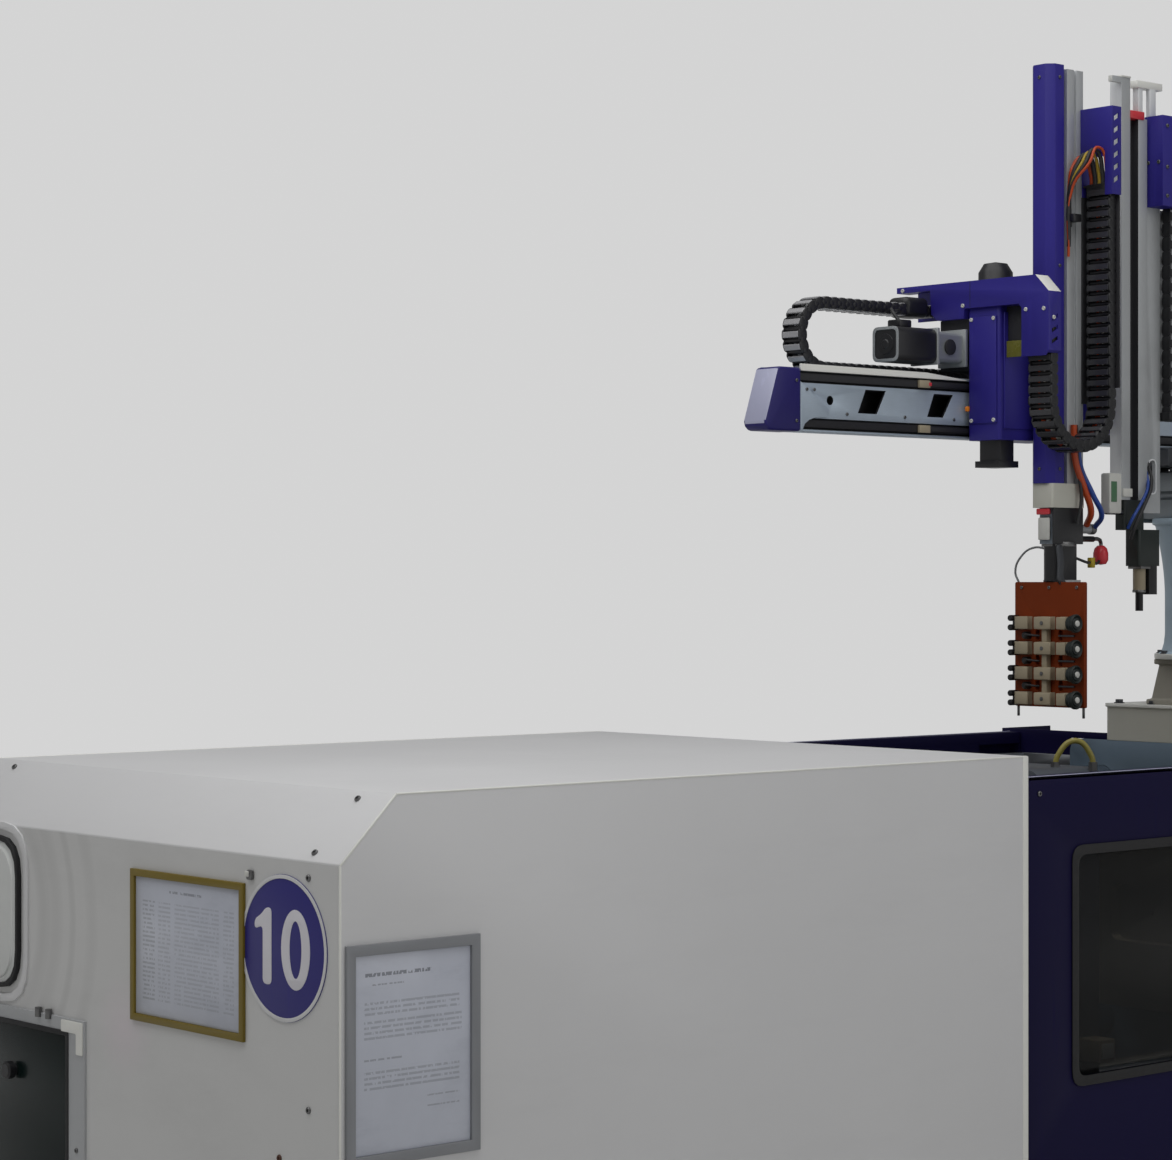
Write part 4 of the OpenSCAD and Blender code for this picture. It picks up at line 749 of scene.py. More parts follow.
# A pale strip on the hood's chamfer is a painted highlight
tint(finished["main_hood"], pale_paint_and_highlight, (-0.36, -0.14, 2.27), (-0.32, -0.09, 2.312), (0, -0.71, 0.71))
tint_all(
    finished["main_arm"],
    (finishes["block_beige"], (-0.262, -0.063, 1.853), (-0.161, -0.007, 1.902)),
    (finishes["unit_grey"], (-0.255, -0.06, 1.7785), (-0.165, -0.01, 1.8525)),
    (motor_black, (-0.25, -0.06, 1.6), (-0.165, -0.01, 1.7785)),
    (motor_black, (-0.172, -0.05, 1.78), (-0.09, -0.02, 1.797)),
    # A strip along the arm is tinted dark as painted shade in its recess
    (dark_part_and_shade, (-0.182, -0.14, 1.97), (-0.139, -0.0585, 2.52)))
grip = cut(finished["gripper"], block("cup_space", (-0.28, -0.115, 1.44), (-0.2556, 0.06, 1.65), 0))
for z in CUP_ROWS:
    for y in (-0.093, -0.033, 0.027):
        tint(grip, beige_block, (-0.2562, y - 0.0165, z - 0.0135), (-0.2377, y + 0.0165, z + 0.0135))
tint_all(
    finished["sub_arm"],
    (finishes["robot_purple"], (0.03, -0.111, 2.478), (0.137, -0.0625, 2.667)),
    (white_plastic, (-0.09, -0.08, 2.726), (-0.03, -0.06, 2.74)),
    (silver, (-0.06, -0.0755, 1.8), (-0.031, -0.04, 2.74)),
    # A strip beside the bright rail is tinted dark as painted shade in its groove
    (dark_part_and_shade, (-0.0314, -0.0749, 1.86), (-0.0054, -0.05, 2.66)),
    (cup_green, (-0.05, -0.08, 1.8), (0.025, -0.04, 1.8705)),
    (cup_green, (-0.01, -0.09, 1.734), (0.07, -0.04, 1.8105)),
    (beige_block, (0.0, -0.08, 1.681), (0.031, -0.04, 1.7345)),
    (motor_black, (0.031, -0.08, 1.67), (0.062, -0.04, 1.736)),
    (motor_black, (0.0, -0.08, 1.63), (0.031, -0.04, 1.681)))
for row in range(3):
    for key in range(7):
        tone = motor_black if (row + key) % 5 == 0 else beige_block
        x, z = KEY_CORNER[0] + KEY_PITCH[0] * key, KEY_CORNER[1] + KEY_PITCH[1] * row
        key_low, key_high = (x - 0.001, -0.607, z - 0.001), (x + 0.025, -0.6029, z + 0.025)
        tint(finished["control_panel"], tone, key_low, key_high)
tint(finished["hopper"], finishes["unit_grey"], (1.28, -0.1, 1.1), (1.47, 0.1, 1.27))
tint(finished["injection_carriage"], finishes["ground_steel"], (1.51, -0.3, 0.9), (2.3, 0.3, 1.1))

# Clamp cover: trims at its open end and folds along its edges, both pale as painted highlights; end skin with
# painted shade rings; screws, seal and bead round the hatch
# Pale strips on the open end's edges, a painted highlight
for side, name in ((-1, "cover_edge_highlight_front"), (1, "cover_edge_highlight_rear")):
    y = side * SIDE_Y
    trim = block(name, (COVER_X - 0.013, y - 0.0009, 0.562), (COVER_X + 0.0006, y + 0.0009, 1.3995), 0.0006)
    finish_piece(trim, "machine", pale_paint_and_highlight)
end_line = [rectangle((-0.5585, 0.563), (0.5585, 1.3015)), rectangle((-0.513, 0.607), (-0.113, 1.007)),
            rectangle((-0.505, 1.056), (-0.335, 1.264), 0.04)]
# The end skin carries the rings of painted shade round the hatch
finish_piece(slab("end_skin", end_line, (END_X + 0.0002, 0, 0), 0.0008, "-X"), "machine",
             end_sheet_with_shade_rings("end_paint", "D4D4D3"))
# Pale beads along the end, slant and top edges, a painted highlight of the folds
for side, name in ((-1, "cover_fold_highlight_front"), (1, "cover_fold_highlight_rear")):
    y = side * (SIDE_Y - 0.0012)
    fold = [(END_X + 0.0012, y, 0.563), (END_X + 0.0012, y, 1.302), (-2.2992, y, COVER_TOP - 0.0012),
            (COVER_X - 0.002, y, COVER_TOP - 0.0012)]
    finish_piece(joined(name, [drum(name, fold[i], fold[i + 1], 0.0019, 12, 0.0004) for i in range(3)]),
                 "machine", pale_paint_and_highlight)
slant = (-SLANT_DROP, 0, SLANT_RUN)
slant_ends = (-0.487, 0.487)
screws("cover_screws", "machine", 0.0052,
       grid(-2.3886, slant_ends, 1.3145, slant) + grid(-2.3122, slant_ends, 1.3883, slant)
       + grid(END_X, -0.488, (1.2795, 0.947, 0.64), TO_END))
screws("worn_screws", "machine", 0.0052, grid(END_X, -0.4162, 0.8683, TO_END), rusty_screw)
bead = slab("hatch_bead", frame_lines((-0.549, 1.012), (-0.29, 1.308), 0.013, 0.075, 0.066),
            (END_X, 0, 0), 0.004, "-X", 0.0012)
finish_piece(bead, "machine", finishes["panel_white"])
seal = slab("hatch_seal", frame_lines((-0.5265, 1.0345), (-0.3135, 1.2855), 0.0075, 0.065, 0.059),
            (END_X, 0, 0), 0.009, "-X", 0.001)
finish_piece(seal, "machine", black_rubber)

# Window frame on the end: corner piece, hinge pins, knob and gasket
corner_line = [(-0.18, 1.004), (-0.116, 1.004), (-0.116, 0.952), (-0.135, 0.952), (-0.135, 0.985),
               (-0.18, 0.985)]
corner_piece = slab("window_corner", [rounded(corner_line, 0.003)], (WINDOW_FRAME_X, 0, 0), 0.0022, "-X",
                    0.0005)
finish_piece(corner_piece, "machine", pale_paint_and_highlight)
pin_x = END_X - 0.007
pins = [drum("pin", (pin_x, y, 1.0), (pin_x, y, 1.016), 0.0055, 16, 0.0008) for y in (0.218, 0.2496, 0.42)]
finish_piece(joined("window_pins", pins), "machine", screw_metal)
gasket = slab("window_gasket", frame_lines((-0.4665, 0.628), (-0.1595, 0.9865), 0.008, 0.006, 0.004),
              (END_X - 0.0046, 0, 0), 0.0018, "-X", 0.0004)
finish_piece(gasket, "machine", black_rubber)
knob_outline = [(0, 0.019), (0.011, 0.019), (0.0145, 0.016), (0.0145, 0.006), (0.009, 0.004), (0.009, 0),
                (0, 0)]
knob = turned("window_knob", knob_outline, (END_X - 0.0002, 0.3353, 0.9038), "-X", 28)
finish_piece(knob, "machine", motor_black)
screws("window_screws", "machine", 0.0042, grid(WINDOW_FRAME_X, (0.135, 0.49), (0.63, 0.8), TO_END))

# Number plate: pale rim and its two digits; the clip above the notice
rim_lines = [oval((0, 0), radius, radius, 72) for radius in (0.1066, 0.1008)]
rim = slab("number_rim", rim_lines, PLATE_FACE, 0.0009, "-X", 0.0002)
notch = block("notch", (END_X - 0.02, -0.3294, 1.0), (END_X + 0.02, -0.2, 1.3), 0)
finish_piece(cut(rim, notch), "machine", finishes["panel_white"])
one_line = [(-0.0295, 0.056), (-0.0435, 0.056), (-0.055, 0.045), (-0.072, 0.037), (-0.072, 0.022),
            (-0.0515, 0.029), (-0.0515, -0.056), (-0.0295, -0.056)]
nought_x = 0.0305
turns = [math.tau * i / 14 for i in range(14)]
nought_line = rounded([(nought_x + 0.0365 * math.sin(a), 0.0595 * math.cos(a)) for a in turns], 0.02, 3)
digits = [slab("digit", lines, PLATE_FACE, 0.0007, "-X", 0.0002)
          for lines in ([rounded(one_line, 0.009)], [nought_line, oval((nought_x, 0), 0.0148, 0.0415, 44)])]
finish_piece(joined("number_digits", digits), "machine", cream_film)
assembled("notice_clip", "machine", [
    (block("clip_body", (END_X - 0.007, -0.352, 1.266), (END_X, -0.338, 1.281), 0.003), screw_metal),
    # The white tab is a painted highlight on the dark clip
    (block("clip_highlight", (END_X - 0.0095, -0.3475, 1.271), (END_X - 0.0065, -0.3385, 1.2795), 0.0013),
     white_plastic)])

# Base: cladding screws
panel_edges = [(-2.4, -1.455), (-1.455, -0.51), (0.24, 1.32), (1.32, 2.4)]
screw_columns = [x for low, high in panel_edges for x in (low + 0.03, high - 0.03)]
screw_rows = (0.13, 0.33, 0.525)
screws("base_screws", "machine", 0.006,
       grid(screw_columns, -SIDE_Y, screw_rows, TO_FRONT) + grid(screw_columns, SIDE_Y, screw_rows, TO_REAR))

# Doors: window gaskets, screws and the lip on the top edge in pale lilac, a painted highlight; switch and
# hose of the moving platen
for side, body in ((-1, "front_door"), (1, "rear_door")):
    y = side * 0.5355
    way = "-Y" if side < 0 else "Y"
    low, high = sorted((side * 0.772, side * -0.152))
    gasket_lines = frame_lines((low, 0.803), (high, 1.234), 0.018, 0.03, 0.02)
    gasket = slab(body + "_gasket", gasket_lines, (0, y, 0), 0.0028, way, 0.0009)
    finish_piece(gasket, body, black_rubber)
    screws(body + "_screws", body, 0.005, grid((-0.92, -0.86, 0.27), y, (0.64, 1.33), (0, side, 0)))
    lip_low, lip_high = sorted((y, y - side * 0.002))
    # The lip's pale lilac is a painted highlight on the door's top edge
    lip = block(body + "_lip", (-0.95, lip_low, 1.3535), (0.298, lip_high, 1.3612), 0.0006)
    finish_piece(lip, body, highlight_lilac)
moving_bits = [
    (block("switch", (-0.531, -0.401, 0.803), (-0.483, -0.35, 0.846), 0.003), beige_block),
    (block("switch_cap", (-0.524, -0.4035, 0.811), (-0.49, -0.4, 0.839), 0.002), white_plastic),
    (tube("oil_hose", [(-0.532, -0.296, 1.348), (-0.529, -0.3, 1.374), (-0.504, -0.322, 1.402),
                       (-0.481, -0.341, 1.374), (-0.478, -0.344, 1.348)], 0.0055, 12), olive_hose),
    *((drum("hose_foot", (x, y, 1.345), (x, y, 1.362), 0.009, 6), screw_metal)
      for x, y in ((-0.532, -0.296), (-0.478, -0.343)))]
assembled("moving_platen_fittings", "moving_platen", moving_bits)

# Robot's block, foot and column
# A pale ring round the block's top edge, a painted highlight
block_top_highlight = slab("block_top_highlight", [rectangle((0.2832, -0.3308), (0.4768, 0.2478), 0.004)], (0, 0, 1.4272),
                  0.0072, "Z", 0.001)
finish_piece(block_top_highlight, "machine", pale_paint_and_highlight)
tint(finished["rear_return_guard"], finishes["door_violet"], *EVERYWHERE)
bolts("block_bolts", "machine", 0.009, grid((0.302, 0.458), (-0.305, -0.13, 0.13, 0.222), 1.4343, UP))
BOLT_CIRCLE = 0.0895
bolt_turns = [math.tau * (i + 0.5) / 8 for i in range(8)]
bolt_spots = [(COLUMN_AXIS[0] + BOLT_CIRCLE * math.cos(a), COLUMN_AXIS[1] + BOLT_CIRCLE * math.sin(a),
               FLANGE_TOP)
              for a in bolt_turns]
bolts("foot_bolts", "machine", 0.0075, [(spot, UP) for spot in bolt_spots])
ring_outline = [(0.079, 0), (0.0985, 0), (0.0995, 0.002), (0.0995, 0.0105), (0.0985, 0.0118), (0.079, 0.0118),
                (0.079, 0)]
ring = turned("column_ring", ring_outline, (*COLUMN_AXIS, 1.5338), "Z", 56)
finish_piece(ring, "machine", pale_paint_and_highlight)

# Traverse beam: end caps' screws and an edge strip
cap_columns, cap_rows = (0.318, 0.442), (1.846, 1.934)
screws("traverse_screws", "machine", 0.006,
       grid(cap_columns, -1.304, cap_rows, TO_FRONT) + grid(cap_columns, 0.192, cap_rows, TO_REAR))
rack = block("traverse_rack", (0.318, -1.27, 1.9395), (0.33, 0.16, 1.9425), 0.0006)
finish_piece(rack, "machine", finishes["dark_steel"])

# Kick beam: white lip, screws, wiring on its tray
lip_line = [(-0.826, 2.1092), (-0.352, 2.1092), (-0.352, 2.1112), (-0.41, 2.1165), (-0.47, 2.1215),
            (-0.826, 2.1228)]
finish_piece(slab("beam_lip", [rounded(lip_line, 0.002)], (0, 0.0925, 0), 0.006, "-Y", 0.0008),
             "robot_carriage", pale_paint_and_highlight)
screws("beam_screws", "robot_carriage", 0.0034,
       grid((-0.695, -0.53, -0.385, -0.06, 0.15, 0.33, 0.48), 0.0918, 2.03, TO_FRONT)
       + grid((-0.81, -0.79), 0.088, 2.074, TO_FRONT))
wiring = [
    (tube("tray_cable", [(-0.62, 0.165, 2.119), (-0.4, 0.162, 2.119), (-0.1, 0.168, 2.119),
                         (0.22, 0.164, 2.119)], 0.0032), cable_grey),
    (tube("tray_cable", [(-0.62, 0.175, 2.119), (-0.38, 0.174, 2.119), (-0.08, 0.177, 2.119),
                         (0.22, 0.175, 2.119)], 0.0032), rubber_hose),
    (block("junction_box", (0.13, 0.152, 2.1155), (0.24, 0.226, 2.158), 0.003), beige_block),
    (block("junction_lid", (0.134, 0.156, 2.1575), (0.236, 0.222, 2.1605), 0.0012), white_plastic)]
assembled("beam_wiring", "robot_carriage", wiring)
screws("cap_screws", "robot_carriage", 0.0034, grid(-0.84, 0.086, (2.012, 2.09), TO_FRONT))


# Cable chains of the kick beam and of the arm
def chain_line(start, heading, out, leg, radius, back, steps):
    """Links of a cable chain out along heading, round the loop and back, as (place, direction, outward)"""
    start, h, o = Vector(start), Vector(heading), Vector(out)
    centre = start + h * leg - o * radius
    total = leg + math.pi * radius + back
    line = []
    for i in range(steps):
        s = (i + 0.5) * total / steps
        if s < leg:
            line.append((start + h * s, h, o))
        elif s < leg + math.pi * radius:
            a = (s - leg) / radius
            outward = o * math.cos(a) + h * math.sin(a)
            line.append((centre + outward * radius, h * math.cos(a) - o * math.sin(a), outward))
        else:
            line.append((centre - o * radius - h * (s - leg - math.pi * radius), -h, -o))
    return line, total / steps


def link_places(line):
    return [Matrix.Translation(place) @ Matrix((along, outward.cross(along), outward)).transposed().to_4x4()
            for place, along, outward in line]


def link_sides(plate, reach, depth, edge):
    """The two side plates of a chain's link"""
    return [slab("side", [plate], (0, y, 0), depth, way, edge) for y, way in ((-reach, "-Y"), (reach, "Y"))]


def link_bars(pitch, reach, low, high):
    """The crossbars above and below a chain's cables"""
    return [block("bar", (-0.27 * pitch, -reach, bottom), (0.27 * pitch, reach, top), 0.001, 1)
            for bottom, top in ((low, high), (-high, -low))]


def cable_chain(name, line, pitch, width, height, bar_finish, cables):
    """Links with side plates, hinge pins and crossbars, and the cables that lie in them"""
    half = width / 2
    plate = rectangle((-0.56 * pitch, -height / 2), (0.5 * pitch, height / 2), height * 0.4)
    links = link_places(line)
    sides = link_sides(plate, half - 0.0045, 0.004, 0.0008)
    sides.append(drum("pin", (0.5 * pitch, -half, 0), (0.5 * pitch, half, 0), height * 0.26, 14, 0.0006))
    bars = link_bars(pitch, half - 0.003, 0.5 * height - 0.003, 0.5 * height + 0.0012)
    parts = [(copies("plates", joined("plates", sides), links), finishes["chain_black"]),
             (copies("bars", joined("bars", bars), links), bar_finish)]
    for share, radius, material in cables:
        points = [place + outward.cross(along) * share * width for place, along, outward in line[1:-1]]
        parts.append((tube("cable", points, radius, 8), material))
    return joined(name, [painted(part, material) for part, material in parts])


# The kick chain's crossbars are pale grey, a painted highlight on its black plastic
kick_line, kick_pitch = chain_line((-0.2, 0.207, 2.1275), (-1, 0, 0), (0, 0, -1), 0.46, 0.065, 0.325, 45)
kick_chain = cable_chain("kick_chain_links", kick_line, kick_pitch, 0.05, 0.023, highlight_bar,
                         [(-0.28, 0.0045, rubber_hose), (-0.05, 0.004, cable_grey),
                          (0.2, 0.005, rubber_hose)])
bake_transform(kick_chain)
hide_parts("kick_chain")
arm_line, arm_pitch = chain_line((-0.155, -0.1, 2.5), (0, 0, -1), (1, 0, 0), 0.436, 0.09, 0.137, 40)
arm_chain = cable_chain("arm_chain_links", arm_line, arm_pitch, 0.06, 0.023, chain_bar,
                        [(-0.3, 0.0045, rubber_hose), (-0.1, 0.004, white_plastic),
                         (0.12, 0.0045, orange_hose), (0.3, 0.004, rubber_hose)])
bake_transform(arm_chain)
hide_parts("arm_chain")
for replaced in ("kick_chain", "arm_chain"):
    bpy.data.objects.remove(finished.pop(replaced))

# Arm carriage and hood
motor_ring = frame_lines((-0.155, 2.141), (-0.085, 2.211), 0.006, 0.014, 0.011)
carriage_parts = [
    (slab("motor_ring", motor_ring, (-0.5548, 0, 0), 0.0016, "-X", 0.0004), gear_grey),
    (turned("motor_hub", [(0, 0.004), (0.008, 0.004), (0.01, 0.002), (0.02, 0.002), (0.021, 0), (0, 0)],
            (-0.5548, 0.120, 2.176), "-X", 28), motor_black),
    (block("motor_plug", (-0.535, 0.1, 2.2105), (-0.5, 0.135, 2.226), 0.003), motor_black),
    (block("gearbox_flange", (-0.4435, 0.083, 2.139), (-0.4355, 0.157, 2.213), 0.0015), gear_grey),
    (block("gearbox_flange", (-0.3605, 0.082, 2.138), (-0.3535, 0.158, 2.214), 0.0015), gear_grey),
    (drum("gearbox_cap", (-0.4, 0.0895, 2.176), (-0.4, 0.086, 2.176), 0.016, 24, 0.0008), dark_part_and_shade),
    (tube("motor_lead", [(-0.517, 0.118, 2.222), (-0.515, 0.14, 2.246), (-0.47, 0.175, 2.25),
                         (-0.41, 0.2, 2.262)], 0.0036), rubber_hose),
    (block("chain_end", (-0.43, 0.179, 2.2425), (-0.3605, 0.235, 2.284), 0.012, 4), motor_black),
    # A dark panel in the gap below the hood, painted shade where only shade is seen
    (block("hood_gap_shade", (-0.33, -0.0655, 2.168), (-0.326, 0.0005, 2.2565), 0.0006), dark_part_and_shade),
    (block("sight_plate", (-0.335, -0.063, 2.153), (-0.3315, -0.001, 2.186), 0.001), olive_plate),
    (block("hood_seam", (-0.3603, 0.0702, 2.2575), (-0.3595, 0.0713, 2.3105), 0), dark_part_and_shade),
    (block("rail_wiper", (-0.492, 0.0858, 2.0935), (-0.345, 0.0904, 2.1028), 0.0008), dark_part_and_shade),
    (block("rail_wiper", (-0.492, 0.0858, 2.0035), (-0.345, 0.0904, 2.0125), 0.0008), dark_part_and_shade),
    (block("wiper_end", (-0.494, 0.0836, 2.0905), (-0.463, 0.0906, 2.1055), 0.0012), beige_block),
    (block("wiper_end", (-0.494, 0.0836, 2.0005), (-0.463, 0.0906, 2.0155), 0.0012), beige_block),
    (block("wiper_mark", (-0.468, 0.0832, 2.0945), (-0.4595, 0.0908, 2.1015), 0.0008), red_fitting),
    (block("orange_dot", (-0.3595, 0.0765, 2.047), (-0.351, 0.0865, 2.058), 0.003), amber),
    (block("carriage_plate", (-0.3545, 0.006, 2.022), (-0.3505, 0.078, 2.238), 0.0012),
     finishes["robot_purple"]),
    (block("front_plate", (-0.340, -0.0045, 2.010), (-0.178, -0.0005, 2.245), 0.0015),
     finishes["robot_purple"])]
assembled("carriage_fittings", "main_carriage", carriage_parts)
hood_spots = [(-0.36, 0.0895, 2.262), (-0.3545, 0.0715, 2.2325), (-0.36, -0.0769, 2.2435),
              (-0.36, -0.1232, 2.2425),
              (-0.3545, 0.0715, 2.028), (-0.3545, 0.0125, 2.028), (-0.3545, 0.0125, 2.2325),
              (-0.36, 0.255, 2.304)]
screws("hood_screws", "main_carriage", 0.0042,
       [(spot, TO_END) for spot in hood_spots] + [((-0.345, -0.135, 2.225), TO_FRONT)], white_plastic)

# Main arm: cover screws, cable arch, tubes, wrist
screws("arm_screws", "main_arm", 0.0036,
       grid(-0.24, -0.0625, (1.93, 2.34, 2.72), TO_FRONT) + grid(-0.2675, -0.033, (1.93, 2.72), TO_END))
arch_parts = []
arch_lines = ((orange_hose, 0.0042), (rubber_hose, 0.0052), (yellow_cable, 0.0036), (rubber_hose, 0.0046),
              (orange_hose, 0.003))
for i, (material, radius) in enumerate(arch_lines):
    x, y = -0.157 - 0.001 * i, -0.076 - 0.011 * i
    arch = [(x, y, 2.492), (x - 0.002, y, 2.53), (x - 0.022, y + 0.004, 2.562 + 0.004 * i),
            (x - 0.046, y + 0.008, 2.545), (x - 0.052, -0.062 - 0.003 * i, 2.5),
            (x - 0.05, -0.061, 2.44 - 0.02 * i)]
    arch_parts.append((tube("arch", arch, radius), material))
arch_parts += [
    (block("cable_clamp", (-0.213, -0.078, 2.43), (-0.19, -0.0585, 2.446), 0.002), motor_black),
    (block("chain_anchor", (-0.1665, -0.131, 2.488), (-0.1435, -0.069, 2.508), 0.003), motor_black),
    (tube("orange_tube", [(-0.198, -0.064, 2.02), (-0.196, -0.066, 1.95), (-0.176, -0.074, 1.89),
                          (-0.146, -0.066, 1.845), (-0.128, -0.04, 1.819)], 0.0068, 12), orange_hose),
    (tube("blue_tube", [(-0.184, -0.064, 2.0), (-0.182, -0.067, 1.94), (-0.158, -0.08, 1.88),
                        (-0.122, -0.074, 1.838), (-0.104, -0.042, 1.815)], 0.0056, 12), blue_hose),
    (tube("black_tube", [(-0.19, -0.064, 2.02), (-0.19, -0.069, 1.93), (-0.186, -0.074, 1.87),
                         (-0.19, -0.066, 1.82)], 0.0036, 10), rubber_hose),
    (block("tube_clip", (-0.206, -0.07, 1.965), (-0.178, -0.0575, 1.978), 0.0015), motor_black),
    (drum("cylinder_ring", (-0.112, -0.033, 1.81), (-0.0985, -0.033, 1.81), 0.0108, 24, 0.0012), screw_metal),
    (tube("elbow", [(-0.1005, -0.033, 1.79), (-0.082, -0.032, 1.79), (-0.069, -0.028, 1.784),
                    (-0.0667, -0.0265, 1.77)], 0.0042, 10), screw_metal),
    (turned("red_cup", [(0, 0.040), (0.007, 0.040), (0.013, 0.034), (0.0155, 0.024), (0.0155, 0.010),
                        (0.011, 0.002), (0, 0)], (-0.0667, -0.0265, 1.737), "Z", 28), red_fitting),
    (tube("link_hose", [(-0.08, -0.033, 1.745), (-0.09, -0.035, 1.74), (-0.1, -0.033, 1.742)], 0.003, 8),
     rubber_hose),
    (drum("yellow_plug", (-0.105, -0.033, 1.731), (-0.105, -0.033, 1.752), 0.0078, 20, 0.0016),
     yellow_fitting),
    (tube("wrist_hose", [(-0.112, -0.035, 1.742), (-0.14, -0.05, 1.742), (-0.185, -0.045, 1.755)], 0.003, 8),
     rubber_hose),
    (block("pink_mark", (-0.2605, -0.052, 1.838), (-0.2545, -0.018, 1.8505), 0.002), red_fitting),
    (block("white_tab", (-0.2575, -0.05, 1.787), (-0.2535, -0.02, 1.832), 0.002), white_plastic),
    (block("wrist_ear", (-0.2565, -0.061, 1.7785), (-0.164, -0.0565, 1.8522), 0.0015), motor_black),
    (drum("rotary_ring", (-0.209, -0.033, 1.7735), (-0.209, -0.033, 1.7835), 0.034, 40, 0.0012), screw_metal),
    (drum("fork_pin", (-0.2075, -0.065, 1.63), (-0.2075, -0.0005, 1.63), 0.0085, 24, 0.001), screw_metal)]
hook_line = [(-0.25, 1.778), (-0.232, 1.778), (-0.226, 1.742), (-0.23, 1.712), (-0.214, 1.694),
             (-0.222, 1.682), (-0.247, 1.705), (-0.244, 1.742)]
hook = slab("hook", [rounded(hook_line, 0.008)], (0, -0.0595, 0), 0.004, "-Y", 0.0008)
arch_parts.append((hook, finishes["dark_steel"]))
assembled("main_arm_fittings", "main_arm", arch_parts)
wire_line = [(-0.236, -0.03, 1.768), (-0.243, 0.0, 1.772), (-0.243, 0.035, 1.755), (-0.238, 0.056, 1.722),
             (-0.234, 0.05, 1.701)]
wire = painted(tube("wrist_wire", wire_line, 0.0022, 8), grey_wire)
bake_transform(wire)

# Gripper: back plate, jaws, cups, nozzles, air lines between the rows, guide rods
grip_parts = [(block("back_plate", (-0.2278, -0.075, 1.462), (-0.2258, 0.009, 1.655), 0.0008),
               finishes["gripper_rust"])]
jaws = ((-0.2615, -0.055, -0.0115, 0.0022), (-0.2595, 0.006, 0.0395, 0.002), (-0.2605, -0.093, -0.069, 0.002))
cup_outline = [(0, 0.0175), (0.0105, 0.0175), (0.0125, 0.015), (0.0165, 0.0185), (0.0185, 0.0165),
               (0.0185, 0.011), (0.015, 0.007), (0.015, 0), (0, 0)]
for z in CUP_ROWS:
    for x, low, high, edge in jaws:
        grip_parts.append((block("jaw", (x, low, z - 0.0125), (-0.255, high, z + 0.0125), edge), beige_block))
    grip_parts += [
        (turned("cup", cup_outline, (-0.263, -0.1085, z), "-Y", 28), cup_green),
        # A white disc in each cup's centre is a painted highlight
        (drum("cup_highlight", (-0.263, -0.1255, z), (-0.263, -0.1285, z), 0.0062, 20, 0.0008), white_plastic),
        (drum("jaw_pin", (-0.261, -0.033, z), (-0.2628, -0.033, z), 0.0042, 16, 0.0005), screw_metal),
        (block("nozzle_arm", (-0.254, 0.04, z - 0.011), (-0.24, 0.05, z + 0.011), 0.001), motor_black)]
    for up in (z - 0.0095, z + 0.0095):
        nozzle = drum("nozzle", (-0.239, 0.0495, up), (-0.2635, 0.0495, up), 0.0062, 18, 0.0014)
        grip_parts.append((nozzle, motor_black))
for z in CUP_ROWS[:-1]:
    neck = z + CUP_PITCH / 2
    hose_outline = [(0, 0.017), (0.005, 0.017), (0.0075, 0.014), (0.0075, 0), (0, 0)]
    air_line = [(-0.252, 0.02, neck), (-0.256, 0.01, neck + 0.0015), (-0.25, -0.004, neck),
                (-0.246, -0.015, neck - 0.0005)]
    grip_parts += [
        (block("neck", (-0.2535, -0.0395, neck - 0.0135), (-0.24, -0.0265, neck + 0.0135), 0.001),
         beige_block),
        (turned("hose_end", hose_outline, (-0.2375, 0.02, neck), "-X", 20), motor_black),
        (tube("air_line", air_line, 0.0022, 8), rubber_hose),
        (block("strip", (-0.242, -0.1, neck - 0.002), (-0.237, -0.06, neck + 0.002), 0.0008),
         finishes["dark_steel"])]
for y in (0.052, -0.118):
    grip_parts.append((drum("guide_rod", (-0.2325, y, 1.4495), (-0.2325, y, 1.4285), 0.0028, 12, 0.0006),
                       screw_metal))
grip_parts.append((block("hanger", (-0.2285, -0.058, 1.64), (-0.2235, -0.008, 1.692), 0.001), motor_black))
assembled("gripper_fittings", "gripper", grip_parts)
screws("gripper_screws", "gripper", 0.0036, grid(-0.2375, (-0.105, -0.033, 0.039), 1.691, TO_END))

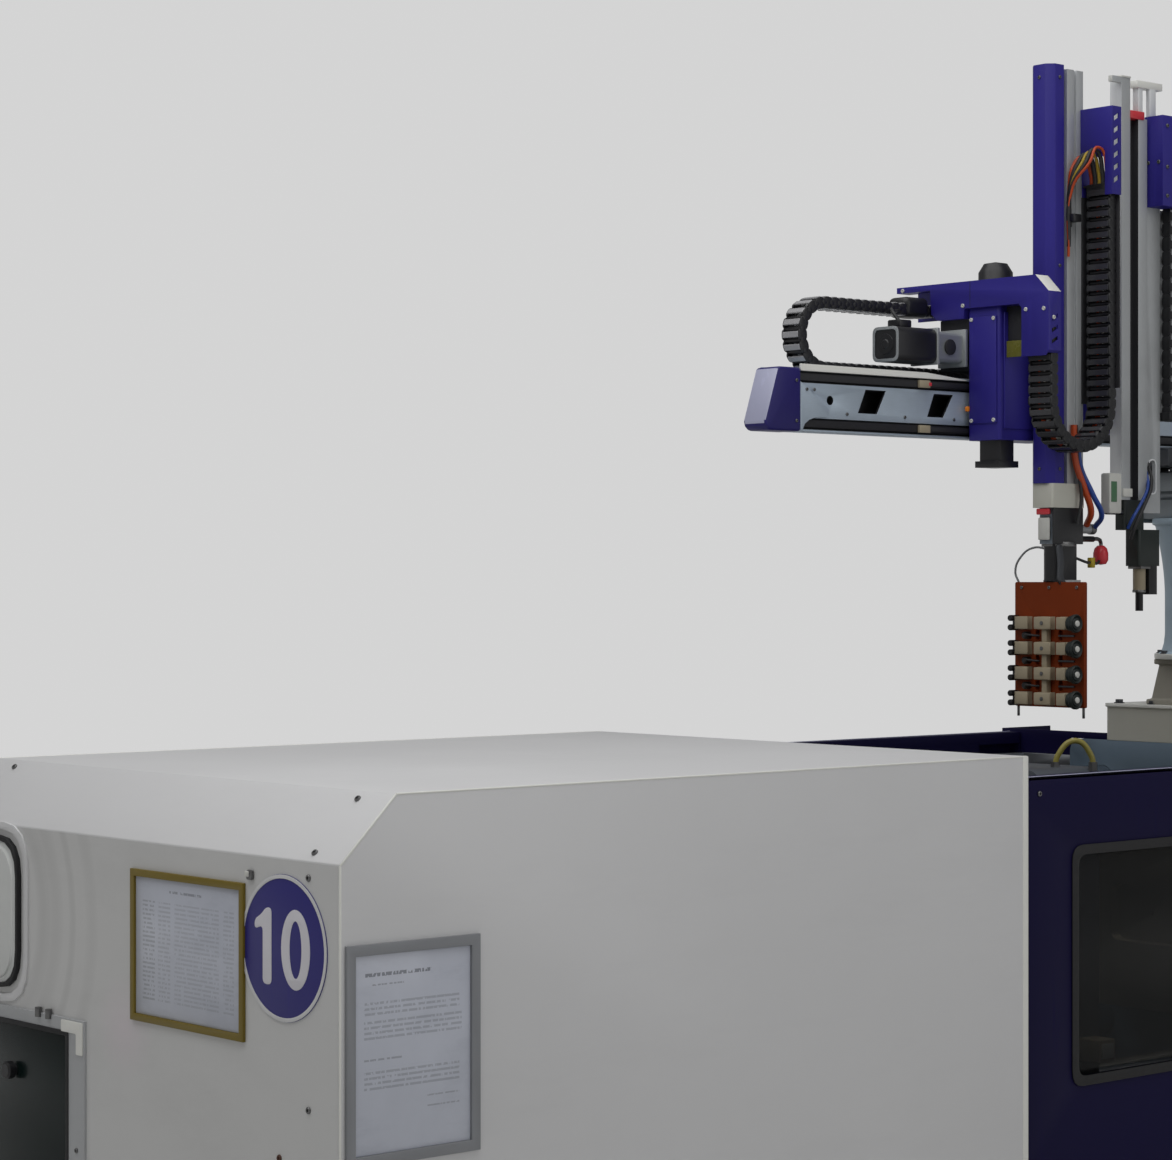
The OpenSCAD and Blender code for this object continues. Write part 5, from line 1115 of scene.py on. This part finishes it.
# Sub arm: brackets at its top, chain in its tray, fittings at its foot
sub_parts = [
    (block("top_bracket", (-0.006, -0.0735, 2.7235), (0.0765, -0.053, 2.7385), 0.0012), pale_paint_and_highlight),
    (block("bracket_leg", (0.0, -0.071, 2.655), (0.0145, -0.056, 2.725), 0.001), silver),
    (block("bracket_leg", (0.034, -0.0735, 2.664), (0.0545, -0.0635, 2.725), 0.001), silver),
    (block("red_stop", (-0.031, -0.0775, 2.6565), (0.013, -0.052, 2.6735), 0.002), red_fitting),
    (block("rail_cap", (-0.0605, -0.0765, 2.7385), (-0.0305, -0.044, 2.7425), 0.001), white_plastic),
    (block("side_fitting", (-0.0985, -0.0755, 1.842), (-0.0585, -0.0515, 1.925), 0.004), white_plastic),
    (block("green_insert", (-0.0935, -0.0765, 1.866), (-0.0755, -0.0745, 1.908), 0.0006), green_bit),
    (block("white_tab", (-0.0575, -0.0785, 1.877), (-0.028, -0.0745, 1.894), 0.001), white_plastic),
    (drum("cross_rod", (-0.097, -0.0635, 1.8455), (-0.044, -0.0635, 1.8455), 0.0055, 18, 0.0008),
     finishes["dark_steel"]),
    (tube("blue_lead", [(0.034, -0.0645, 1.93), (0.02, -0.08, 1.9), (-0.012, -0.086, 1.862),
                        (-0.035, -0.082, 1.83), (-0.036, -0.072, 1.812)], 0.0034, 8), blue_hose),
    (tube("black_lead", [(0.04, -0.0645, 1.95), (0.028, -0.083, 1.905), (-0.004, -0.09, 1.86),
                         (-0.026, -0.084, 1.82), (-0.024, -0.07, 1.79)], 0.0036, 8), rubber_hose),
    (block("cylinder_flange", (0.0005, -0.077, 1.729), (0.0325, -0.043, 1.7355), 0.001), screw_metal),
    (drum("cylinder_end", (0.0165, -0.06, 1.6855), (0.0165, -0.06, 1.68), 0.0142, 24, 0.0008), screw_metal),
    (block("slot_rim", (0.0225, -0.0605, 2.634), (0.0765, -0.0585, 2.642), 0.0006), silver)]
rim_lines = frame_lines((0.0375, 1.8835), (0.0635, 1.9575), 0.003, 0.0125, 0.0098)
sub_parts.append((slab("slot_rim", rim_lines, (0, -0.067, 0), 0.0014, "-Y", 0.0003), silver))
tray_line, tray_pitch = chain_line((0.102, -0.0785, 2.478), (0, 0, -1), (0, -1, 0), 0.438, 0.001, 0.0, 15)
tray_plate = rectangle((-0.55 * tray_pitch, -0.0105), (0.5 * tray_pitch, 0.0105), 0.008)
link_parts = link_sides(tray_plate, 0.0175, 0.0035, 0.0006) + link_bars(tray_pitch, 0.019, 0.0085, 0.0118)
link = joined("link", link_parts)
sub_parts.append((copies("tray_links", link, link_places(tray_line)), finishes["chain_black"]))
sub_parts.append((tube("tray_cable", [(0.098, -0.0785, 2.475), (0.098, -0.0785, 2.25),
                                      (0.098, -0.0785, 2.06)], 0.0045, 8), cable_grey))
sub_parts.append((block("chain_foot", (0.0785, -0.0905, 2.0365), (0.1255, -0.0605, 2.055), 0.003),
                  motor_black))
assembled("sub_arm_fittings", "sub_arm", sub_parts)
screws("sub_arm_screws", "sub_arm", 0.0042,
       grid((0.045, 0.121), -0.11, (2.5, 2.56, 2.645), TO_FRONT) + grid(0.0305, (-0.1, -0.073), 2.57, TO_END))
screws("sub_carriage_screws", "sub_carriage", 0.0042, grid(-0.0595, (-0.02, 0.07), (2.03, 2.21), TO_END),
       white_plastic)

# Injection unit: terminals and wires of the heater bands, bolts, hopper sight glass
heat = []
for i in range(6):
    x = HEATER_START_X + HEATER_PITCH * i
    wire_line = [(x - 0.008, -0.037, 1.086), (x - 0.006, -0.06, 1.092), (x + 0.02, -0.09, 1.075),
                 (x + 0.05, -0.1, 1.05)]
    heat += [(drum("terminal", (x - 0.008, -0.0295, 1.086), (x - 0.008, -0.038, 1.086), 0.006, 6),
              screw_metal),
             (tube("heater_wire", wire_line, 0.003, 8), cable_grey)]
heat.append((drum("wire_duct", (0.53, -0.103, 1.045), (1.262, -0.103, 1.045), 0.009, 20, 0.001), rubber_hose))
assembled("heater_wiring", "injection_unit", heat)
bolt_rows = (MOULD_AXIS_Z - 0.12, MOULD_AXIS_Z + 0.12)
bolts("unit_bolts", "injection_unit", 0.012,
      grid(1.26, (-0.09, 0.09), bolt_rows, TO_END)
      + grid(1.51, (-0.25, 0.25), (MOULD_AXIS_Z - 0.05, MOULD_AXIS_Z + 0.05), TO_DRIVE))
glass_place = (1.385, -0.2485, 1.7)
glass = slab("hopper_glass", [oval((0, 0), 0.028, 0.085)], glass_place, 0.003, "-Y", 0.0008)
glass_rim_lines = [oval((0, 0), 0.037, 0.094), oval((0, 0), 0.027, 0.084)]
glass_rim = slab("hopper_glass_rim", glass_rim_lines, glass_place, 0.0065, "-Y", 0.001)
assembled("hopper_sight", "injection_unit", [(glass, dark_part_and_shade), (glass_rim, screw_metal)])
latches = [(block("lid_latch", (1.37, -0.2685, 1.815), (1.4, -0.2585, 1.848), 0.002), screw_metal)]
assembled("hopper_latch", "injection_unit", latches)
bolts("platen_bolts", "machine", 0.016, grid(0.47, (-0.3, 0.3), bolt_rows, TO_DRIVE))

# Control panel: screen bezel, key surround, knobs and screws
bezel_lines = frame_lines((0.828, 1.268), (1.132, 1.522), 0.015, 0.014, 0.006)
bezel = slab("screen_bezel", bezel_lines, (0, PANEL_FACE_Y, 0), 0.004, "-Y", 0.001)
finish_piece(bezel, "machine", dark_part_and_shade)
keyboard_lines = frame_lines((0.83, 1.128), (1.072, 1.248), 0.0045, 0.008, 0.006)
keyboard = slab("key_surround", keyboard_lines, (0, PANEL_FACE_Y, 0), 0.0012, "-Y", 0.0003)
finish_piece(keyboard, "machine", dark_part_and_shade)
round_outline = [(0, 0.018), (0.008, 0.018), (0.0095, 0.016), (0.0105, 0.003), (0.013, 0.002), (0.013, 0),
                 (0, 0)]
knobs = [(turned("knob", round_outline, (x, PANEL_FACE_Y, 1.205), "-Y", 24), tone)
         for x, tone in ((1.095, motor_black), (1.13, green_bit))]
stop_lines = [oval((0, 0), 0.034, 0.034), oval((0, 0), 0.0125, 0.0125)]
knobs.append((slab("stop_ring", stop_lines, (1.110, PANEL_FACE_Y, 1.150), 0.0016, "-Y", 0.0004),
              yellow_fitting))
assembled("panel_knobs", "machine", knobs)
screws("panel_screws", "machine", 0.004, grid((0.812, 1.148), -0.6025, (1.102, 1.52), TO_FRONT))

# Pump: hoses into the base and the motor's cable box
pump_parts = []
for side, x, y, bends, foot_x, foot_y, radius in (
        (-1, 2.02, -0.03, [(2.05, -0.06, 0.8), (2.08, -0.16, 0.76)], 2.09, -0.2, 0.016),
        (1, 2.04, 0.03, [(2.06, 0.07, 0.81), (2.09, 0.17, 0.76)], 2.1, 0.21, 0.02)):
    hose_line = [(x, y, 0.745), *bends, (foot_x, foot_y, 0.66), (foot_x, foot_y, 0.555)]
    nut_top = (x + 0.005, y + side * 0.005, 0.765)
    pump_parts += [
        (tube("pump_hose", hose_line, radius, 16), rubber_hose),
        (drum("hose_nut", (x, y, 0.74), nut_top, radius + 0.006, 6, 0.001), screw_metal),
        (drum("hose_foot", (foot_x, foot_y, 0.559), (foot_x, foot_y, 0.585), radius + 0.008, 6, 0.001),
         screw_metal)]
pump_parts += [
    (block("cable_box", (1.70, -0.05, 0.800), (1.80, 0.05, 0.850), 0.004), finishes["pump_grey"]),
    (block("cable_box_lid", (1.704, -0.046, 0.849), (1.796, 0.046, 0.856), 0.0015), finishes["dark_steel"])]
assembled("pump_fittings", "machine", pump_parts)

# Stage, lamps and camera
BACKDROP = (0.66, 0.66, 0.66)
FLOOR_FADE_START = 4.5
FLOOR_FADE_LENGTH = 7.0
SENSOR_WIDTH_MM = 36.0
bpy.ops.mesh.primitive_plane_add(size=60, location=(0, 0, 0))
floor = bpy.context.object
floor.name = "floor"
floor_paint = Paint("floor_paint")
ground = floor_paint.noise(0.7, 3)
floor_paint.set(Base_Color=floor_paint.mix(ground, (0.7, 0.7, 0.69), (0.73, 0.73, 0.72)), Roughness=0.7)
away = floor_paint.node("ShaderNodeVectorMath", {"operation": "LENGTH"}, {0: floor_paint.place}, "Value")
fade = ((away - FLOOR_FADE_START) * (1 / FLOOR_FADE_LENGTH)).share()
rays = [floor_paint.node("ShaderNodeLightPath", {}, {}, ray) for ray in ("Is Camera Ray", "Is Glossy Ray")]
glow = floor_paint.node("ShaderNodeEmission", {}, {"Color": BACKDROP}, 0)
blended = floor_paint.node("ShaderNodeMixShader", {}, {0: fade * (rays[0] + rays[1]).at_most(1.0),
                                                       1: Wire(floor_paint, floor_paint.surface.outputs[0]),
                                                       2: glow})
floor_paint.tree.links.new(blended.socket, floor_paint.tree.nodes["Material Output"].inputs["Surface"])
floor.data.materials.append(floor_paint.material)

world = bpy.context.scene.world or bpy.data.worlds.new("studio")
bpy.context.scene.world = world
world.use_nodes = True
sky = world.node_tree
sky.nodes.clear()
out = sky.nodes.new("ShaderNodeOutputWorld")
back = sky.nodes.new("ShaderNodeBackground")
room = sky.nodes.new("ShaderNodeBackground")
seen = sky.nodes.new("ShaderNodeLightPath")
blend = sky.nodes.new("ShaderNodeMixShader")
for light, tone, strength in ((back, BACKDROP, 1.0), (room, (1.0, 1.0, 1.0), 0.21)):
    light.inputs["Color"].default_value = (*tone, 1)
    light.inputs["Strength"].default_value = strength
sky.links.new(seen.outputs["Is Camera Ray"], blend.inputs[0])
sky.links.new(room.outputs[0], blend.inputs[1])
sky.links.new(back.outputs[0], blend.inputs[2])
sky.links.new(blend.outputs[0], out.inputs["Surface"])


def lamp(name, place, aim, size, power):
    bpy.ops.object.light_add(type="AREA", location=place)
    light = bpy.context.object
    light.name = name
    light.data.size = size
    light.data.energy = power
    light.rotation_euler = (Vector(aim) - Vector(place)).to_track_quat("-Z", "Y").to_euler()
    return light


# Soft lamps: (name, place, aim, size in metres, power in watts)
lamp("ceiling_lamp", (-2.2, -0.3, 5.2), (-0.8, 0, 0.6), 5.5, 142)
lamp("side_lamp", (0.6, -6.0, 3.6), (-0.4, 0, 1.2), 4.0, 47)
lamp("end_lamp", (-7.0, 0.8, 3.2), (-1.0, 0, 1.2), 4.0, 5)

CAMERA_PLACE = (-4.893, -3.96, 1.706)
CAMERA_AZIMUTH = 41.0
FOCAL_PX = 2974.0
FRAME_WIDTH_PX = 1172.0
bpy.ops.object.camera_add(location=CAMERA_PLACE, rotation=(math.radians(90), 0,
                                                           math.radians(-CAMERA_AZIMUTH)))
camera = bpy.context.object
camera.data.sensor_width = SENSOR_WIDTH_MM
camera.data.lens = SENSOR_WIDTH_MM * FOCAL_PX / FRAME_WIDTH_PX
camera.data.clip_end = 200
bpy.context.scene.camera = camera
bpy.context.scene.view_settings.view_transform = "Standard"
